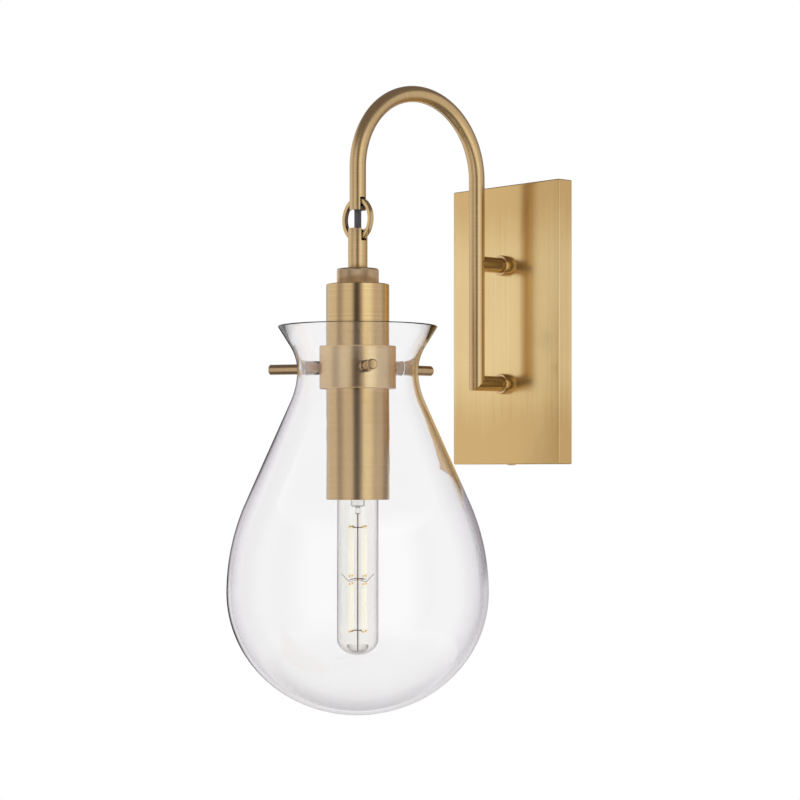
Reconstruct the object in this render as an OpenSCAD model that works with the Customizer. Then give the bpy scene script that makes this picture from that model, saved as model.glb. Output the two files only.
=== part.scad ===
// Wall sconce: a wall plate carries a gooseneck tube, a link ring hangs a socket cup from
// the end of the tube, and three pins in the cup's collar hold a closed glass bell.
// Millimetres. +Z is up and the room is towards -Y. The origin is on the wall, at the
// centre of the wall plate's back.

/* [Wall plate] */
// Width of the wall plate
plate_w = 124; // [112:1:140]
// Height of the wall plate
plate_h = 229; // [215:1:260]
// Depth of the wall plate, from its front face to the wall
plate_d = 15; // [14.5:0.5:20]
// Sheet thickness of the wall plate
plate_t = 1.6; // [1.2:0.1:2]
// Chamfer round the front of the wall plate
plate_edge = 0.9; // [0.4:0.1:1.2]

/* [Mounting strap] */
// Width of the strap
strap_w = 20; // [18:1:26]
// Thickness of the strap
strap_t = 2; // [1.5:0.1:2.2]
// Gap between the strap's end tabs and the plate's edges
strap_gap = 0.2; // [0.1:0.1:0.6]
// Distance between the two slots for the outlet box screws
slot_spacing = 89; // [70:1:90]
// End to end length of each slot
slot_len = 12; // [8:1:14]
// Width of each slot
slot_w = 4.6; // [4.2:0.1:5]
// Diameter of the hole for the supply wires
wire_hole_d = 12; // [10:1:14]
// Height of the earth screw above the plate's centre
earth_z = 24; // [18:1:30]

/* [Small screws] */
// Diameter of the screw threads
screw_d = 3.7; // [3:0.1:4]
// Diameter of the screw heads
screw_head_d = 7.2; // [6:0.1:8]
// Height of the screw heads
screw_head_h = 2.2; // [1.8:0.1:2.6]
// Width of the driver slot in a screw head
driver_slot_w = 1; // [0.8:0.1:1.2]
// Length of the two plate screws under the head
plate_screw_len = 9; // [7:0.5:12]

/* [Gooseneck] */
// Outer diameter of the tube
tube_d = 12.7; // [12:0.1:13.5]
// Wall of the tube
tube_wall = 1; // [0.8:0.1:1.2]
// Radius of the arch, to the middle of the tube
bend_r = 63.5; // [58:0.5:75]
// Distance from the plate's front to the middle of the long leg
standoff = 31.5; // [28:0.5:40]
// Height of the arch above the plate's centre, to the middle of the tube
arch_top = 179; // [165:1:200]
// Straight length of the short leg
short_leg = 33.3; // [28:0.1:40]
// Distance between the two posts
post_spacing = 97; // [94:1:110]
// Gap left for brazing between two tubes
braze_gap = 0.05; // [0.02:0.01:0.1]

/* [Post fittings] */
// Diameter of the collars where the posts meet the plate
collar_d = 17; // [16:0.5:20]
// Length of the collars
collar_len = 5.6; // [4:0.1:8]
// Chamfer on the collars
collar_edge = 0.8; // [0.4:0.1:1.2]
// Outer diameter of the threaded pipe in the posts and in the stem
pipe_d = 9.7; // [9.3:0.1:9.9]
// Bore of the threaded pipe
pipe_bore = 6.5; // [6.2:0.1:7]
// Length of threaded pipe inside a post
pipe_grip = 10; // [8:0.5:14]
// Length of threaded pipe behind the plate's sheet
pipe_tail = 6.8; // [6:0.1:7.2]
// Diameter of the washers on the threaded pipe
washer_d = 16; // [15:0.5:20]
// Thickness of the washers
washer_t = 1; // [0.8:0.1:1.4]
// Width across the flats of the hexagon nuts
nut_flats = 14; // [13:0.5:16]
// Thickness of the hexagon nuts
nut_t = 4; // [3:0.1:4.4]
// Radial clearance in every screwed or turning fit
fit = 0.05; // [0.02:0.01:0.08]

/* [Wires] */
// Outer diameter of each wire
wire_d = 1.6; // [1.3:0.1:1.7]
// Distance of each wire from the middle of a threaded pipe
wire_pair = 1; // [0.95:0.05:1.3]
// Diameter of the wire connectors at their mouths
connector_d = 8; // [7:0.5:9]
// Length of the wire connectors
connector_len = 18; // [14:1:22]
// Distance of the supply connectors to either side of the plate's middle
connector_x = 20; // [18:0.5:24]
// Distance of the supply connectors' mouths below the lower post
connector_drop = 20; // [18:1:24]
// Distance of the earth connector's mouth below the earth screw
earth_drop = 16; // [14:1:20]
// Length of wire inside a connector
wire_tuck = 4; // [3:0.5:5]
// Height above the lower post at which the wires run straight up the long leg
wire_turn = 18; // [16:1:24]

/* [Link] */
// Outer diameter of the link ring
ring_d = 34; // [32:0.5:35]
// Radial thickness of the link ring
ring_band = 3.6; // [3:0.1:3.8]
// Axial thickness of the link ring
ring_t = 3.6; // [2.8:0.1:3.7]
// Chamfer on the link ring's edges
ring_edge = 0.6; // [0.4:0.1:0.8]
// Turn of the link ring about the stem, from the plane of the wall
link_turn = 0; // [0:1:12]
// Gap between the gooseneck's end and the stem's top
link_gap = 14.2; // [13:0.1:16]
// Width of the slots that the link ring passes through
link_slot_w = 5; // [4.8:0.1:5.4]
// Clearance past the link ring in the slots' depth
link_slot_clear = 0.9; // [0.8:0.1:1.4]
// Diameter of the cross pins that carry the link ring
link_pin_d = 2.4; // [2:0.1:2.6]
// Play between the link ring and a cross pin
link_play = 0.25; // [0.2:0.05:0.4]
// Gap between a wire and the link ring
link_wire_gap = 0.45; // [0.35:0.05:0.5]
// Diameter of the black sleeve in the link
sleeve_d = 5.5; // [4.5:0.1:6]

/* [Stem and knurled nut] */
// Diameter of the stem
stem_d = 15; // [14.5:0.1:16]
// Wall of the stem round the link
stem_wall = 1.5; // [1.2:0.1:1.6]
// Length of the stem
stem_len = 31.2; // [29:0.1:40]
// Length of the screwed part of the stem
stem_thread = 10; // [8:0.5:12]
// Diameter of the knurled nut
knurl_d = 32.7; // [28:0.1:40]
// Height of the knurled nut
knurl_h = 11.9; // [9:0.1:16]
// Chamfer on the knurled nut
knurl_edge = 1.4; // [0.8:0.1:2]
// Gap above and below the knurled nut
knurl_gap = 0.1; // [0.05:0.05:0.2]

/* [Socket cup] */
// Outer diameter of the cup
cup_d = 48.8; // [46:0.1:52]
// Height of the cup
cup_h = 167.3; // [160:0.1:180]
// Wall of the cup
cup_wall = 1.2; // [1:0.1:1.6]
// Thickness of the cup's closed top
cup_top_t = 2; // [1.6:0.1:3]
// Chamfer on the cup's top edge
cup_edge = 0.8; // [0.4:0.1:1.2]
// Diameter of the washer under the cup's top
cup_washer_d = 24; // [18:0.5:30]

/* [Shade collar] */
// Outer diameter of the collar band on the cup
band_d = 59.3; // [57:0.1:64]
// Height of the collar band
band_h = 32.7; // [28:0.1:40]
// Distance from the cup's top to the collar band's top
band_drop = 48.8; // [44:0.1:56]
// Chamfer on the collar band
band_edge = 0.8; // [0.4:0.1:1.2]

/* [Thumb pins] */
// Diameter of the pins that carry the glass
pin_d = 8; // [7:0.1:9]
// Distance that a pin stands out of the glass's neck
pin_out = 27.4; // [21:0.1:33]
// Diameter of the screwed end of a pin
pin_thread_d = 5; // [4:0.1:6]
// Chamfer on the tip of a pin
pin_edge = 1.2; // [0.6:0.1:2]
// Turn of the pins about the stem
pin_turn = -2; // [-6:1:6]
// Wall of the clear bushes round the pins
bush_wall = 0.6; // [0.5:0.1:1.2]
// Distance that the bushes stand out of the glass's neck
bush_stand = 0.8; // [0.4:0.1:2]

/* [Glass bell] */
// Largest diameter of the glass
shade_d = 203.2; // [195:0.1:215]
// Thickness of the glass
glass_t = 3; // [2.4:0.1:3.6]
// Diameter of the glass at its neck
neck_d = 94; // [90:0.5:100]
// Distance from the pins down to the narrowest part of the neck
neck_drop = 2; // [0:0.1:4]
// Height of the rim above the pins
rim_rise = 31.7; // [28:0.1:36]
// Radius of the curve from the neck to the rim
flare_r = 36; // [30:0.5:42]
// Angle of the rim from the vertical
flare_angle = 32; // [26:1:36]
// Radius of the curve from the neck to the bell's cone
waist_r = 57.6; // [50:0.1:64]
// Angle of the bell's cone from the vertical
cone_angle = 24; // [22:1:28]
// Radius of the curve from the cone to the widest part
shoulder_r = 173; // [150:1:180]
// Depth of the bowl below the widest part
bowl_depth = 94.6; // [88:0.1:102]

/* [Lampholder] */
// Height of the bulb's contact above the cup's lower edge
bulb_seat = 65; // [62:0.5:70]
// Outer diameter of the lampholder's body
holder_d = 36; // [34:0.5:40]
// Length of the lampholder's body below its shoulder
holder_len = 42; // [38:0.5:46]
// Diameter of the screw shell's outside
shell_d = 27.8; // [27.6:0.1:28.6]
// Thickness of the screw shell
shell_t = 0.5; // [0.4:0.05:0.6]
// Distance of the terminal screws from the axis
terminal_x = 9; // [8:0.5:10]
// Height of the lampholder's shoulder above the bulb's contact
holder_rise = 13.6; // [12:0.1:16]
// Width of the lampholder's shoulder
shoulder_w = 2.4; // [2:0.1:2.8]
// Height of the lampholder's boss above its shoulder
boss_h = 5.4; // [4:0.1:7]
// Room for the wires between the boss and the lampholder's cap
wiring_h = 4.5; // [4:0.1:7]
// Wall of the lampholder's cap
holder_cap_t = 1.2; // [0.8:0.1:1.6]
// Length of the neck on the lampholder's cap
holder_neck = 9; // [8:0.5:12]
// Height of the screw shell's inner end above the bulb's contact
shell_rise = 4.2; // [3.6:0.1:5]
// Thickness of the sprung contact with its pad
contact_t = 0.8; // [0.6:0.1:1]

/* [Bulb] */
// Diameter of the bulb's tube
bulb_d = 32; // [30:0.5:34]
// Length of the bulb with its cap
bulb_len = 185; // [170:1:195]
// Thickness of the bulb's glass
bulb_t = 0.8; // [0.6:0.1:1]
// Depth of the bulb's rounded end
bulb_dome = 12.5; // [10:0.5:16]
// Outer diameter of the bulb's cap
cap_d = 26; // [25.4:0.1:26.2]
// Length of the threaded part of the bulb's cap
cap_len = 22; // [20:0.5:26]
// Number of thread ridges on the bulb's cap
cap_ridges = 6; // [4:1:8]
// Height of the bulb's contact above the top of its cap
contact_h = 3; // [2.4:0.1:3.4]
// Diameter of the glass stem inside the bulb
mount_d = 10.8; // [9:0.1:12]
// Distance from the bulb's contact to the lower end of the glass stem
mount_len = 71; // [64:0.5:76]
// Length of the flattened pinch below the glass stem
pinch_len = 5.2; // [4:0.1:7]
// Distance from the pinch to the upper wire star
spider_drop = 8; // [7:0.5:10]
// Diameter of a filament stick
stick_d = 2.2; // [1.6:0.1:2.6]
// Length of a filament stick in the upper tier
stick_upper = 39.8; // [34:0.1:42]
// Length of a filament stick in the lower tier
stick_lower = 38.5; // [34:0.1:42]
// Distance of the filament sticks from the bulb's axis
stick_r = 7.6; // [6:0.1:8]
// Turn of the filament sticks about the bulb's axis
stick_turn = -7; // [-45:1:45]
// Number of filament sticks in a tier
stick_count = 4; // [3:1:6]
// Thickness of the wires that hold the filament sticks
spider_d = 0.9; // [0.7:0.1:1.2]
// Diameter of the bowl-shaped glass button in the bulb's rounded end
button_d = 17; // [14:0.5:17]
// Height of the button's rim above the bulb's end
button_h = 7.6; // [7.4:0.1:9]
// Wall of the clear button
button_t = 1; // [0.8:0.1:1.2]

/* [Hidden] */
$fn = 72;
spill = 1;
join = 0.01;

tube_r = tube_d / 2;
tube_in = tube_r - tube_wall;
pipe_r = pipe_d / 2;
pipe_in = pipe_bore / 2;
pipe_hole = pipe_r + fit;
screw_r = screw_d / 2;
wire_r = wire_d / 2;

plate_front = -plate_d;
plate_back_of_sheet = -plate_d + plate_t;
leg_y = plate_front - standoff;
arch_y = leg_y - bend_r;
axis_y = leg_y - 2 * bend_r;
arch_z = arch_top - bend_r;
post_z = post_spacing / 2;

flange_in = plate_h / 2 - plate_t;
tab_out = flange_in - strap_gap;
tab_front = plate_back_of_sheet + 1;
plate_screw_y = (tab_front - strap_t) / 2;
connector_y = plate_back_of_sheet / 2;

arm_end = arch_z - short_leg;
ring_r = ring_d / 2;
ring_in = ring_r - ring_band;
ring_z = arm_end - link_gap / 2;
arm_pin_z = ring_z + ring_in - link_play - link_pin_d / 2;
stem_pin_z = ring_z - ring_in + link_play + link_pin_d / 2;

wire_pin_gap = 0.15;
wire_u = link_pin_d / 2 + wire_pin_gap + wire_r;
wire_v = ring_t / 2 + link_wire_gap + wire_r;
wire_x = wire_u * cos(link_turn) - wire_v * sin(link_turn);
wire_y = wire_u * sin(link_turn) + wire_v * cos(link_turn);
wire_off = norm([wire_u, wire_v]);
sleeve_wide = wire_off + wire_r + 0.1;
sleeve_end_gap = 0.55;
wire_end_gap = 0.65;
sleeve_top = arm_pin_z - link_pin_d / 2 - sleeve_end_gap;
sleeve_bottom = stem_pin_z + link_pin_d / 2 + sleeve_end_gap + 0.4;

stem_top = arm_end - link_gap;
stem_bottom = stem_top - stem_len;
stem_r = stem_d / 2;
stem_in = stem_r - stem_wall;
slot_top = ring_z + sqrt(pow(ring_r, 2) - pow(tube_in, 2)) + link_slot_clear;
slot_bottom = ring_z - sqrt(pow(ring_r, 2) - pow(stem_in, 2)) - link_slot_clear;
knurl_top = stem_bottom - knurl_gap;
knurl_bottom = knurl_top - knurl_h;
cup_top = knurl_bottom - knurl_gap;
cup_bottom = cup_top - cup_h;
cup_r = cup_d / 2;
cup_in = cup_r - cup_wall;
cup_ceiling = cup_top - cup_top_t;

band_top = cup_top - band_drop;
band_z = band_top - band_h / 2;
band_r = band_d / 2;
pin_angles = [90 + pin_turn, 210 + pin_turn, 330 + pin_turn];
pin_r = pin_d / 2;
pin_reach = neck_d / 2 + pin_out;
pin_seat_gap = 0.1;
bush_in = pin_r + fit;
bush_out = bush_in + bush_wall;

neck_r = neck_d / 2;
shade_r = shade_d / 2;
neck_z = band_z - neck_drop;
rim_z = band_z + rim_rise;
cone_len = (shade_r - neck_r - (waist_r + shoulder_r) * (1 - cos(cone_angle))) / sin(cone_angle);
bowl_z = neck_z - (waist_r + shoulder_r) * sin(cone_angle) - cone_len * cos(cone_angle);
lip_len = (rim_z - neck_z - flare_r * sin(flare_angle)) / cos(flare_angle);

seat_z = cup_bottom + bulb_seat;
holder_top = seat_z + holder_rise;
holder_bottom = holder_top - holder_len;
holder_r = holder_d / 2;
boss_r = holder_r - shoulder_w;
boss_top = holder_top + boss_h;
cap_floor = boss_top + wiring_h;
shell_r = shell_d / 2;
rivet_r = 1.5;
terminal_len = 6;
pad_gap = 0.3;
shell_top = seat_z + shell_rise;
floor_z = shell_top + 2 * contact_t;
bulb_r = bulb_d / 2;
bulb_end = seat_z - bulb_len;
cap_r = cap_d / 2;
shell_in = 1.4;
seal_drop = 6;
swell_len = 15;
cap_top = seat_z - contact_h;
cap_bottom = cap_top - cap_len;
mount_bottom = seat_z - mount_len;
pinch_bottom = mount_bottom - pinch_len;
spider_top = pinch_bottom - spider_drop;
spider_middle = spider_top - stick_upper - 3 * spider_d;
spider_low = spider_middle - stick_lower - 3 * spider_d;
button_top = bulb_end + button_h;
button_r = button_d / 2;
button_depth = button_h - bulb_t - fit;
button_floor = button_top - button_depth + button_t;

brass = [0.78, 0.66, 0.44];
dark_brass = [0.58, 0.46, 0.3];
steel = [0.72, 0.73, 0.75];
black = [0.12, 0.11, 0.12];
clear = [0.85, 0.88, 0.88, 0.35];

// A cylinder along Y between two values of y, on the axis through x = 0 and z
module rod_y(y0, y1, r, z = 0) {
    translate([0, min(y0, y1), z]) rotate([-90, 0, 0]) cylinder(h = abs(y1 - y0), r = r);
}

// A cylinder along Z between two heights
module rod_z(z0, z1, r) {
    translate([0, 0, min(z0, z1)]) cylinder(h = abs(z1 - z0), r = r);
}

// A tube along Z between two heights
module pipe_z(z0, z1, r_out, r_in) {
    difference() {
        rod_z(z0, z1, r_out);
        rod_z(min(z0, z1) - spill, max(z0, z1) + spill, r_in);
    }
}

// Places its children on the axis of the stem
module on_axis() {
    translate([0, axis_y, 0]) children();
}

// Places its children on the stem's axis, with X along the link ring's plane
module on_link() {
    on_axis() rotate([0, 0, link_turn]) children();
}

// A hexagon nut along Z, its lower face at z = 0
module hex_nut(t) {
    difference() {
        cylinder(h = t, r = nut_flats / 2 / cos(30), $fn = 6);
        translate([0, 0, -spill]) cylinder(h = t + 2 * spill, r = pipe_hole);
    }
}

// A screw along Z with its shank below z = 0 and its slotted head above
module slotted_screw(len) {
    side_h = screw_head_h * 0.55;
    top_r = screw_head_d * 0.34;
    slot_floor = screw_head_h / 2;
    difference() {
        union() {
            translate([0, 0, -len]) cylinder(h = len + join, r = screw_r);
            cylinder(h = side_h, r = screw_head_d / 2);
            translate([0, 0, side_h])
                cylinder(h = screw_head_h - side_h, r1 = screw_head_d / 2, r2 = top_r);
        }
        translate([-screw_head_d, -driver_slot_w / 2, slot_floor])
            cube([2 * screw_head_d, driver_slot_w, screw_head_h]);
    }
}

// Points on a circle arc in the plane of a profile
function arc(cx, cz, r, a0, a1, n) =
    [for (i = [0:n]) let (a = a0 + (a1 - a0) * i / n) [cx + r * cos(a), cz + r * sin(a)]];

function unit(v) = v / norm(v);

// A round-sided tube swept along points, with each ring turned as little as possible
module swept(points, r, sides = 8) {
    n = len(points);
    along = [for (i = [0:n - 1])
        unit(points[min(i + 1, n - 1)] - points[max(i - 1, 0)])];
    first = abs(along[0].x) < 0.9 ? [1, 0, 0] : [0, 0, 1];
    across = [for (i = 0, a = unit(first - (first * along[0]) * along[0]); i < n;
        i = i + 1, a = i < n ? unit(a - (a * along[i]) * along[i]) : a) a];
    rings = [for (i = [0:n - 1]) for (k = [0:sides - 1])
        let (s = cross(along[i], across[i]), t = 360 * k / sides)
        points[i] + r * (cos(t) * across[i] + sin(t) * s)];
    polyhedron(rings, concat(
        [[for (k = [0:sides - 1]) sides - 1 - k]],
        [for (i = [0:n - 2]) for (k = [0:sides - 1]) let (j = (k + 1) % sides)
            [i * sides + k, i * sides + j, (i + 1) * sides + j]],
        [for (i = [0:n - 2]) for (k = [0:sides - 1]) let (j = (k + 1) % sides)
            [i * sides + k, (i + 1) * sides + j, (i + 1) * sides + k]],
        [[for (k = [0:sides - 1]) (n - 1) * sides + k]]
    ));
}

// Points along a smooth curve through corners, each corner rounded by two steps of cutting
function cut_corners(p) = concat([p[0]],
    [for (i = [0:len(p) - 2]) each [0.75 * p[i] + 0.25 * p[i + 1], 0.25 * p[i] + 0.75 * p[i + 1]]],
    [p[len(p) - 1]]);
function smooth(p) = cut_corners(cut_corners(p));

module wall_plate() {
    color(brass) difference() {
        intersection() {
            translate([0, 0, -plate_h / 2]) linear_extrude(plate_h) plate_section(plate_w);
            rotate([0, 90, 0]) translate([0, 0, -plate_w / 2]) linear_extrude(plate_w)
                plate_section(plate_h);
        }
        translate([-plate_w / 2 + plate_t, plate_back_of_sheet, -flange_in])
            cube([plate_w - 2 * plate_t, plate_d, 2 * flange_in]);
        for (s = [-1, 1]) {
            rod_y(plate_front - spill, 0, pipe_hole, s * post_z);
            translate([0, plate_screw_y, s * plate_h / 2 - plate_d / 2])
                cylinder(h = plate_d, r = screw_r + 0.2);
        }
    }
}

// Section of the plate's box across its depth, with the front corners chamfered
module plate_section(w) {
    polygon([
        [-w / 2, 0], [-w / 2, plate_front + plate_edge], [-w / 2 + plate_edge, plate_front],
        [w / 2 - plate_edge, plate_front], [w / 2, plate_front + plate_edge], [w / 2, 0]
    ]);
}

module mounting_strap() {
    color(steel) difference() {
        union() {
            translate([-strap_w / 2, -strap_t, -tab_out]) cube([strap_w, strap_t, 2 * tab_out]);
            for (s = [0, 1]) mirror([0, 0, s])
                translate([-strap_w / 2, tab_front, tab_out - strap_t])
                    cube([strap_w, -tab_front, strap_t]);
        }
        rod_y(-strap_t - spill, spill, wire_hole_d / 2);
        rod_y(-strap_t - spill, spill, screw_r + fit, earth_z);
        for (s = [-1, 1]) {
            for (e = [-1, 1])
                rod_y(-strap_t - spill, spill, slot_w / 2,
                    s * slot_spacing / 2 + e * (slot_len - slot_w) / 2);
            translate([-slot_w / 2, -strap_t - spill, s * slot_spacing / 2 - (slot_len - slot_w) / 2])
                cube([slot_w, strap_t + 2 * spill, slot_len - slot_w]);
            translate([0, plate_screw_y, s * (tab_out - strap_t / 2) - strap_t])
                cylinder(h = 2 * strap_t, r = screw_r + fit);
        }
    }
}

module plate_screws() {
    color(brass) for (s = [0, 1]) mirror([0, 0, s])
        translate([0, plate_screw_y, plate_h / 2]) slotted_screw(plate_screw_len);
}

module earth_screw() {
    color("green") {
        rod_y(-strap_t - 0.01, 0, screw_r, earth_z);
        translate([0, -strap_t - wire_d, earth_z]) rotate([90, 0, 0])
            cylinder(h = 3, r = 4, $fn = 6);
        rod_y(-strap_t - wire_d - 0.01, -strap_t, screw_r, earth_z);
    }
}

// Bare lead from under the earth screw's head to its connector
earth_route = [
    [screw_r + wire_r + 0.15, -strap_t - wire_r, earth_z + 3],
    [screw_r + wire_r + 0.15, -strap_t - wire_r, earth_z - 3],
    [4, -strap_t - wire_r - 0.2, earth_z - 8],
    [14, -strap_t - wire_r - 1.5, earth_z - 10],
    [connector_x + 2, connector_y, earth_z - earth_drop + 2],
    [connector_x + 2, connector_y, earth_z - earth_drop - wire_tuck]
];

module earth_lead() {
    color([0.72, 0.45, 0.28]) swept(smooth(earth_route), wire_r);
}

// The gooseneck's path as a rod of one radius: long leg, arch and short leg
module gooseneck_path(r, low, end) {
    translate([0, leg_y, low]) cylinder(h = arch_z - low, r = r);
    translate([0, arch_y, arch_z]) rotate([90, 0, 90]) rotate_extrude(angle = 180)
        translate([bend_r, 0]) circle(r = r);
    translate([0, axis_y, end]) cylinder(h = arch_z - end, r = r);
}

// A block that fills one side of the mitre between the long leg and the lower post
module mitre_side(side) {
    s = 2 * tube_d;
    translate([0, leg_y, -post_z]) rotate([-45, 0, 0])
        translate([-s, side > 0 ? 0 : -2 * s, -s]) cube([2 * s, 2 * s, 2 * s]);
}

module gooseneck_tube() {
    color(brass) difference() {
        gooseneck_path(tube_r, -post_z - tube_d, arm_end);
        gooseneck_path(tube_in, -post_z - tube_d - spill, arm_end - spill);
        mitre_side(1);
        on_link() translate([-tube_d, -link_slot_w / 2, arm_end - spill])
            cube([2 * tube_d, link_slot_w, slot_top - arm_end + spill]);
    }
}

module upper_post() {
    color(brass) difference() {
        rod_y(leg_y, plate_front, tube_r, post_z);
        translate([0, leg_y, post_z - tube_d]) cylinder(h = 2 * tube_d, r = tube_r + braze_gap);
        rod_y(plate_front - pipe_grip - 2, plate_front + spill, pipe_hole, post_z);
    }
}

module lower_post() {
    color(brass) difference() {
        rod_y(leg_y - tube_d, plate_front, tube_r, -post_z);
        mitre_side(-1);
        rod_y(leg_y - 2 * tube_d, plate_front + spill, pipe_hole, -post_z);
    }
}

// A collar round a post, seated on the plate's front
module post_collar() {
    rotate([90, 0, 0]) rotate_extrude() polygon([
        [tube_r + fit, -plate_front], [collar_d / 2, -plate_front],
        [collar_d / 2, -plate_front + collar_len - collar_edge],
        [collar_d / 2 - collar_edge, -plate_front + collar_len],
        [tube_r + fit, -plate_front + collar_len]
    ]);
}

module upper_collar() { color(brass) translate([0, 0, post_z]) post_collar(); }
module lower_collar() { color(brass) translate([0, 0, -post_z]) post_collar(); }

module post_pipes() {
    color(steel) for (z = [-post_z, post_z]) difference() {
        rod_y(plate_front - pipe_grip, plate_back_of_sheet + pipe_tail, pipe_r, z);
        rod_y(plate_front - pipe_grip - spill, 0, pipe_in, z);
    }
}

module post_washers() {
    color(steel) for (z = [-post_z, post_z]) difference() {
        rod_y(plate_back_of_sheet, plate_back_of_sheet + washer_t, washer_d / 2, z);
        rod_y(plate_front, 0, pipe_hole, z);
    }
}

module post_nuts() {
    color(steel) for (z = [-post_z, post_z])
        translate([0, plate_back_of_sheet + washer_t, z]) rotate([-90, 0, 0]) hex_nut(nut_t);
}

module wire_bushing() {
    end = plate_back_of_sheet + pipe_tail;
    color(black) difference() {
        union() {
            rod_y(end - 5, end + 0.01, pipe_in - fit, -post_z);
            rod_y(end, end + 0.9, pipe_r - 0.4, -post_z);
        }
        rod_y(plate_front, 0, wire_pair + wire_r + 0.3, -post_z);
    }
}

// A cross pin from wall to wall of a bore, along the link ring's axis
module cross_pin(bore_r, z) {
    reach = sqrt(pow(bore_r, 2) - pow(link_pin_d / 2, 2)) - fit;
    color(steel) on_link() rod_y(-reach, reach, link_pin_d / 2, z);
}

module arm_cross_pin() { cross_pin(tube_in, arm_pin_z); }

// One supply wire: side is -1 or 1, and the two lie on opposite sides of the tube's middle
function arm_wire_route(side) = let (
    tail_y = (plate_back_of_sheet + pipe_tail + 0.9 - strap_t) / 2 - 0.3,
    x = side * wire_x, off = side * wire_y, p = side * wire_pair
) concat(
    smooth([
        [side * connector_x, connector_y, -post_z - connector_drop - wire_tuck],
        [side * connector_x, connector_y, -post_z - connector_drop + wire_tuck],
        [side * (connector_x - 3), tail_y, -post_z - 6], [side * 8, tail_y, -post_z],
        [p, tail_y, -post_z], [p, tail_y - 3, -post_z], [p, plate_front - 4, -post_z]
    ]),
    smooth([
        [p, leg_y + 12, -post_z], [p, leg_y + 3, -post_z],
        [x, leg_y - off, -post_z + 7], [x, leg_y - off, -post_z + wire_turn]
    ]),
    [for (i = [1:5])
        [x, leg_y - off, -post_z + wire_turn + (arch_z + post_z - wire_turn) * i / 6]],
    [for (i = [0:24]) let (a = 180 * i / 24)
        [x, arch_y + (bend_r - off) * cos(a), arch_z + (bend_r - off) * sin(a)]],
    [[x, axis_y + off, arch_z - short_leg / 3],
        [x, axis_y + off, sleeve_top + wire_end_gap]]
);

module arm_wires() {
    color(black) for (side = [-1, 1]) swept(arm_wire_route(side), wire_r);
}

// A wire connector with its mouth at the origin, along -Z
module connector() {
    skirt = connector_len * 0.35;
    bore = connector_len * 0.3;
    tip_r = connector_d * 0.36;
    rotate([180, 0, 0]) {
        difference() {
            cylinder(h = skirt, r = connector_d / 2);
            translate([0, 0, -spill]) cylinder(h = bore + spill, r = wire_r + 2 * fit);
        }
        translate([0, 0, skirt - join])
            cylinder(h = connector_len - skirt + join, r1 = connector_d / 2, r2 = tip_r);
    }
}

module wire_connectors() {
    color([0.9, 0.45, 0.15]) {
        for (side = [-1, 1])
            translate([side * connector_x, connector_y, -post_z - connector_drop]) connector();
        translate([connector_x + 2, connector_y, earth_z - earth_drop]) connector();
    }
}

module link_ring() {
    color(brass) on_link() translate([0, 0, ring_z]) rotate([90, 0, 0]) rotate_extrude()
        polygon([
            [ring_in + ring_edge, -ring_t / 2], [ring_r - ring_edge, -ring_t / 2],
            [ring_r, -ring_t / 2 + ring_edge], [ring_r, ring_t / 2 - ring_edge],
            [ring_r - ring_edge, ring_t / 2], [ring_in + ring_edge, ring_t / 2],
            [ring_in, ring_t / 2 - ring_edge], [ring_in, -ring_t / 2 + ring_edge]
        ]);
}

// The sleeve gathers the two wires in the link and is wider where it takes them in
module link_sleeve() {
    r = sleeve_d / 2;
    color(black) on_axis() rotate_extrude() polygon([
        [0, sleeve_bottom], [sleeve_wide, sleeve_bottom], [sleeve_wide, stem_top - 1.2],
        [r, stem_top], [r, arm_end], [sleeve_wide, arm_end + 1.2],
        [sleeve_wide, sleeve_top], [0, sleeve_top]
    ]);
}

module stem_tube() {
    edge = 0.4;
    color(brass) on_axis() difference() {
        rotate_extrude() polygon([
            [pipe_hole, stem_bottom], [stem_r - edge, stem_bottom], [stem_r, stem_bottom + edge],
            [stem_r, stem_top - edge], [stem_r - edge, stem_top], [stem_in, stem_top],
            [stem_in, stem_bottom + stem_thread], [pipe_hole, stem_bottom + stem_thread]
        ]);
        rotate([0, 0, link_turn]) translate([-stem_d, -link_slot_w / 2, slot_bottom])
            cube([2 * stem_d, link_slot_w, stem_top - slot_bottom + spill]);
    }
}

module stem_cross_pin() { cross_pin(stem_in, stem_pin_z); }

module socket_pipe() {
    color(steel) on_axis() pipe_z(stem_bottom + stem_thread, cap_floor, pipe_r, pipe_in);
}

module knurled_nut() {
    r = knurl_d / 2;
    color(dark_brass) on_axis() rotate_extrude() polygon([
        [pipe_hole, knurl_bottom], [r - knurl_edge / 2, knurl_bottom],
        [r, knurl_bottom + knurl_edge / 2], [r, knurl_top - knurl_edge],
        [r - knurl_edge, knurl_top], [pipe_hole, knurl_top]
    ]);
}

module cup_washer() {
    color(steel) on_axis()
        pipe_z(cup_ceiling - washer_t, cup_ceiling, cup_washer_d / 2, pipe_hole);
}

module cup_locknut() {
    color(steel) on_axis() translate([0, 0, cup_ceiling - washer_t - nut_t]) hex_nut(nut_t);
}

module socket_cup() {
    color(brass) on_axis() rotate_extrude() polygon([
        [pipe_hole, cup_top], [cup_r - cup_edge, cup_top], [cup_r, cup_top - cup_edge],
        [cup_r, cup_bottom], [cup_in, cup_bottom], [cup_in, cup_ceiling],
        [pipe_hole, cup_ceiling]
    ]);
}

module shade_collar() {
    color(brass) on_axis() difference() {
        rotate_extrude() polygon([
            [cup_r + fit, band_top - band_h], [band_r - band_edge, band_top - band_h],
            [band_r, band_top - band_h + band_edge], [band_r, band_top - band_edge],
            [band_r - band_edge, band_top], [cup_r + fit, band_top]
        ]);
        for (a = pin_angles) radial(a) cylinder(h = band_r + spill, r = pin_thread_d / 2 + fit);
    }
}

// Turns its children so that Z points outwards from the stem's axis at the pins' height
module radial(angle) {
    translate([0, 0, band_z]) rotate([0, 0, angle]) rotate([0, 90, 0]) children();
}

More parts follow.
